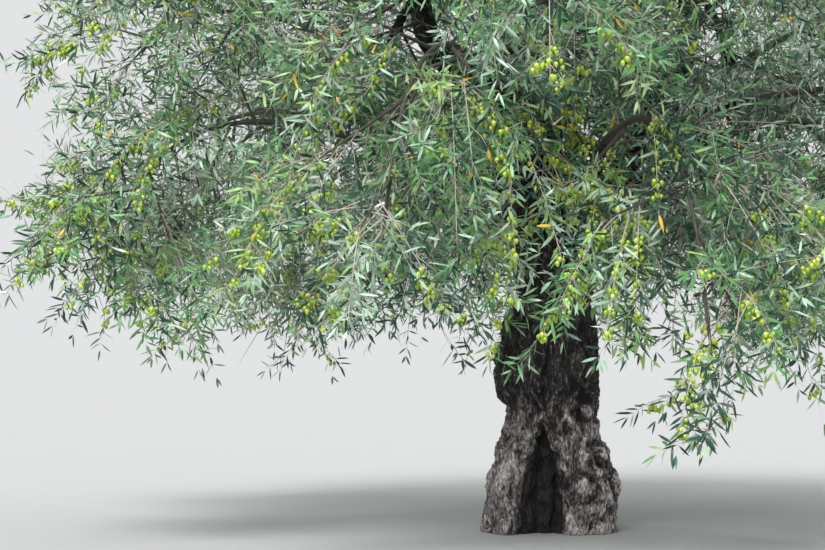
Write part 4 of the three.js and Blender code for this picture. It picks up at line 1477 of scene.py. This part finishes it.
def dress_foliage(masses, limbs, boughs, space):
    """Everything finer than a limb."""
    rng = np.random.default_rng(SEED)
    twigs, sprays = grow_foliage(masses, boughs + limbs, space)
    sprays = thinned_before_fork(sprays, rng)
    axes, shoots, carrier_of, carrier_mass = grow_shoots(masses, twigs, sprays, space, rng)
    shoot_mass = carrier_mass[carrier_of]
    hanging, hanging_mass = hanging_shoots(twigs, masses, rng)
    steady = np.full(len(hanging), HANGING_SIDE_DROOP)
    sides, hanging_of = side_shoots(
        hanging, HANGING_SIDES, HANGING_SIDE_STATIONS, HANGING_SIDE_LENGTH, steady, rng
    )
    kept = inside_box(sides, SHOOT_SLACK) & ~hides_trunk(sides)
    sides, hanging_of = sides[kept], hanging_of[kept]

    share = np.array([FRUITING_SHARE[mass["ring"]["name"]] for mass in masses])[shoot_mass]
    share = share * smooth_step(*FRUIT_DEPTH, crown_depth(shoots[:, 0]))
    share[in_fork_gap(shoots[:, 0])] = FORK_GAP_FRUITING
    fruiting = rng.random(len(shoots)) < share
    first_before_fruit = rng.uniform(*FRUITING_LEAVES_FROM, len(shoots))
    first = np.where(fruiting, first_before_fruit, rng.uniform(*LEAVES_FROM, len(shoots)))
    shares = [share for _, share in GREEN_LEAVES]
    kind = rng.choice(len(GREEN_LEAVES), len(carrier_mass), p=shares)[carrier_of]
    kind[rng.random(len(kind)) < DRY_LEAF[1]] = len(GREEN_LEAVES) + 1
    hanging_kind = rng.choice(len(GREEN_LEAVES), len(hanging), p=shares)
    hanging_first = rng.uniform(*HANGING_LEAVES_FROM, len(hanging))
    side_first = rng.uniform(*LEAVES_FROM, len(sides))
    groups = [
        (shoots, LEAF_PAIRS, first, shoot_mass, kind),
        (hanging, HANGING_PAIRS, hanging_first, hanging_mass, hanging_kind),
        (sides, HANGING_SIDE_PAIRS, side_first, hanging_mass[hanging_of], hanging_kind[hanging_of]),
    ]
    leaves = dress_leaves(groups, masses, rng)

    on_shoots = clusters_on(shoots[fruiting], CLUSTERS, FRUIT_STATIONS, rng)
    chosen = rng.random(len(hanging)) < HANGING_FRUITING
    on_hanging = clusters_on(hanging[chosen], HANGING_CLUSTERS, HANGING_FRUIT_STATIONS, rng)
    nodes, tops = (np.concatenate(pair) for pair in zip(on_shoots, on_hanging))
    clear = space.clear_of_limbs(tops, OLIVE_LENGTH)
    fruit, stalks = dress_fruit(nodes[clear], tops[clear], rng)

    roots, ends, radii = columns(twigs, "root", "end", "radius")
    bare_twigs = along_line(roots, ends, np.linspace(0, LEADER_STATION, 6))
    twig_parts = [
        (knotted_stems(masses), 0),
        (tapered(bare_twigs, radii[:, None], TWIG_TAPER, 5), 0),
        (tapered(axes, SPRAY_RADIUS, TWIG_TAPER, 3), 1),
        (tapered(hanging, HANGING_RADIUS, 0.4, 4), 1),
        (tapered(stalks, STALK_RADIUS, 1, 3), 1),
    ]
    short_parts = [(tapered(np.concatenate([shoots, sides]), SHOOT_RADIUS, 0.5, 3), 1)]
    return [*leaves, *fruit, dress_twigs("twigs", twig_parts), dress_twigs("shoots", short_parts)]


noise.seed_set(SEED)  # without it the bark's ridges drift differently in each run
masses = make_masses()
boughs = make_boughs(masses)
limbs = make_limbs(boughs, masses)
tree = dress_wood(boughs, limbs) + dress_foliage(masses, limbs, boughs, Space(masses, boughs + limbs))
for piece in tree:
    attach(piece, "root")

# The stage, light and camera

turns = np.arange(STAGE_SIDES) * TURN / STAGE_SIDES
rim = np.stack([np.cos(turns) * STAGE_RADIUS, np.sin(turns) * STAGE_RADIUS, turns * 0], axis=1)
fan = np.array([(0, i, i + 1) for i in range(1, STAGE_SIDES - 1)])
mesh_object("floor", rim, fan, [matt_paper("matt_paper", "#b0b1b1", "#b4b5b5")])

world = bpy.data.worlds.new("soft_studio")
bpy.context.scene.world = world
world.use_nodes = True
sky = world.node_tree.nodes["Background"]
sky.inputs["Color"].default_value = linear(SKY_COLOUR)
sky.inputs["Strength"].default_value = SKY_STRENGTH

key = bpy.data.lights.new("soft_key", "SUN")
key.energy = KEY_STRENGTH
key.angle = math.radians(KEY_SOFTNESS)
key_object = bpy.data.objects.new("soft_key", key)
key_object.rotation_euler = np.radians(KEY_ROTATION)
bpy.context.scene.collection.objects.link(key_object)

camera_data = bpy.data.cameras.new("camera")
camera_data.lens = CAMERA_LENS
camera_data.sensor_width = CAMERA_SENSOR
camera = bpy.data.objects.new("camera", camera_data)
camera.location = CAMERA_PLACE
camera.rotation_euler = np.radians(CAMERA_ROTATION)
bpy.context.scene.collection.objects.link(camera)
bpy.context.scene.camera = camera
bpy.context.scene.view_settings.view_transform = "Standard"
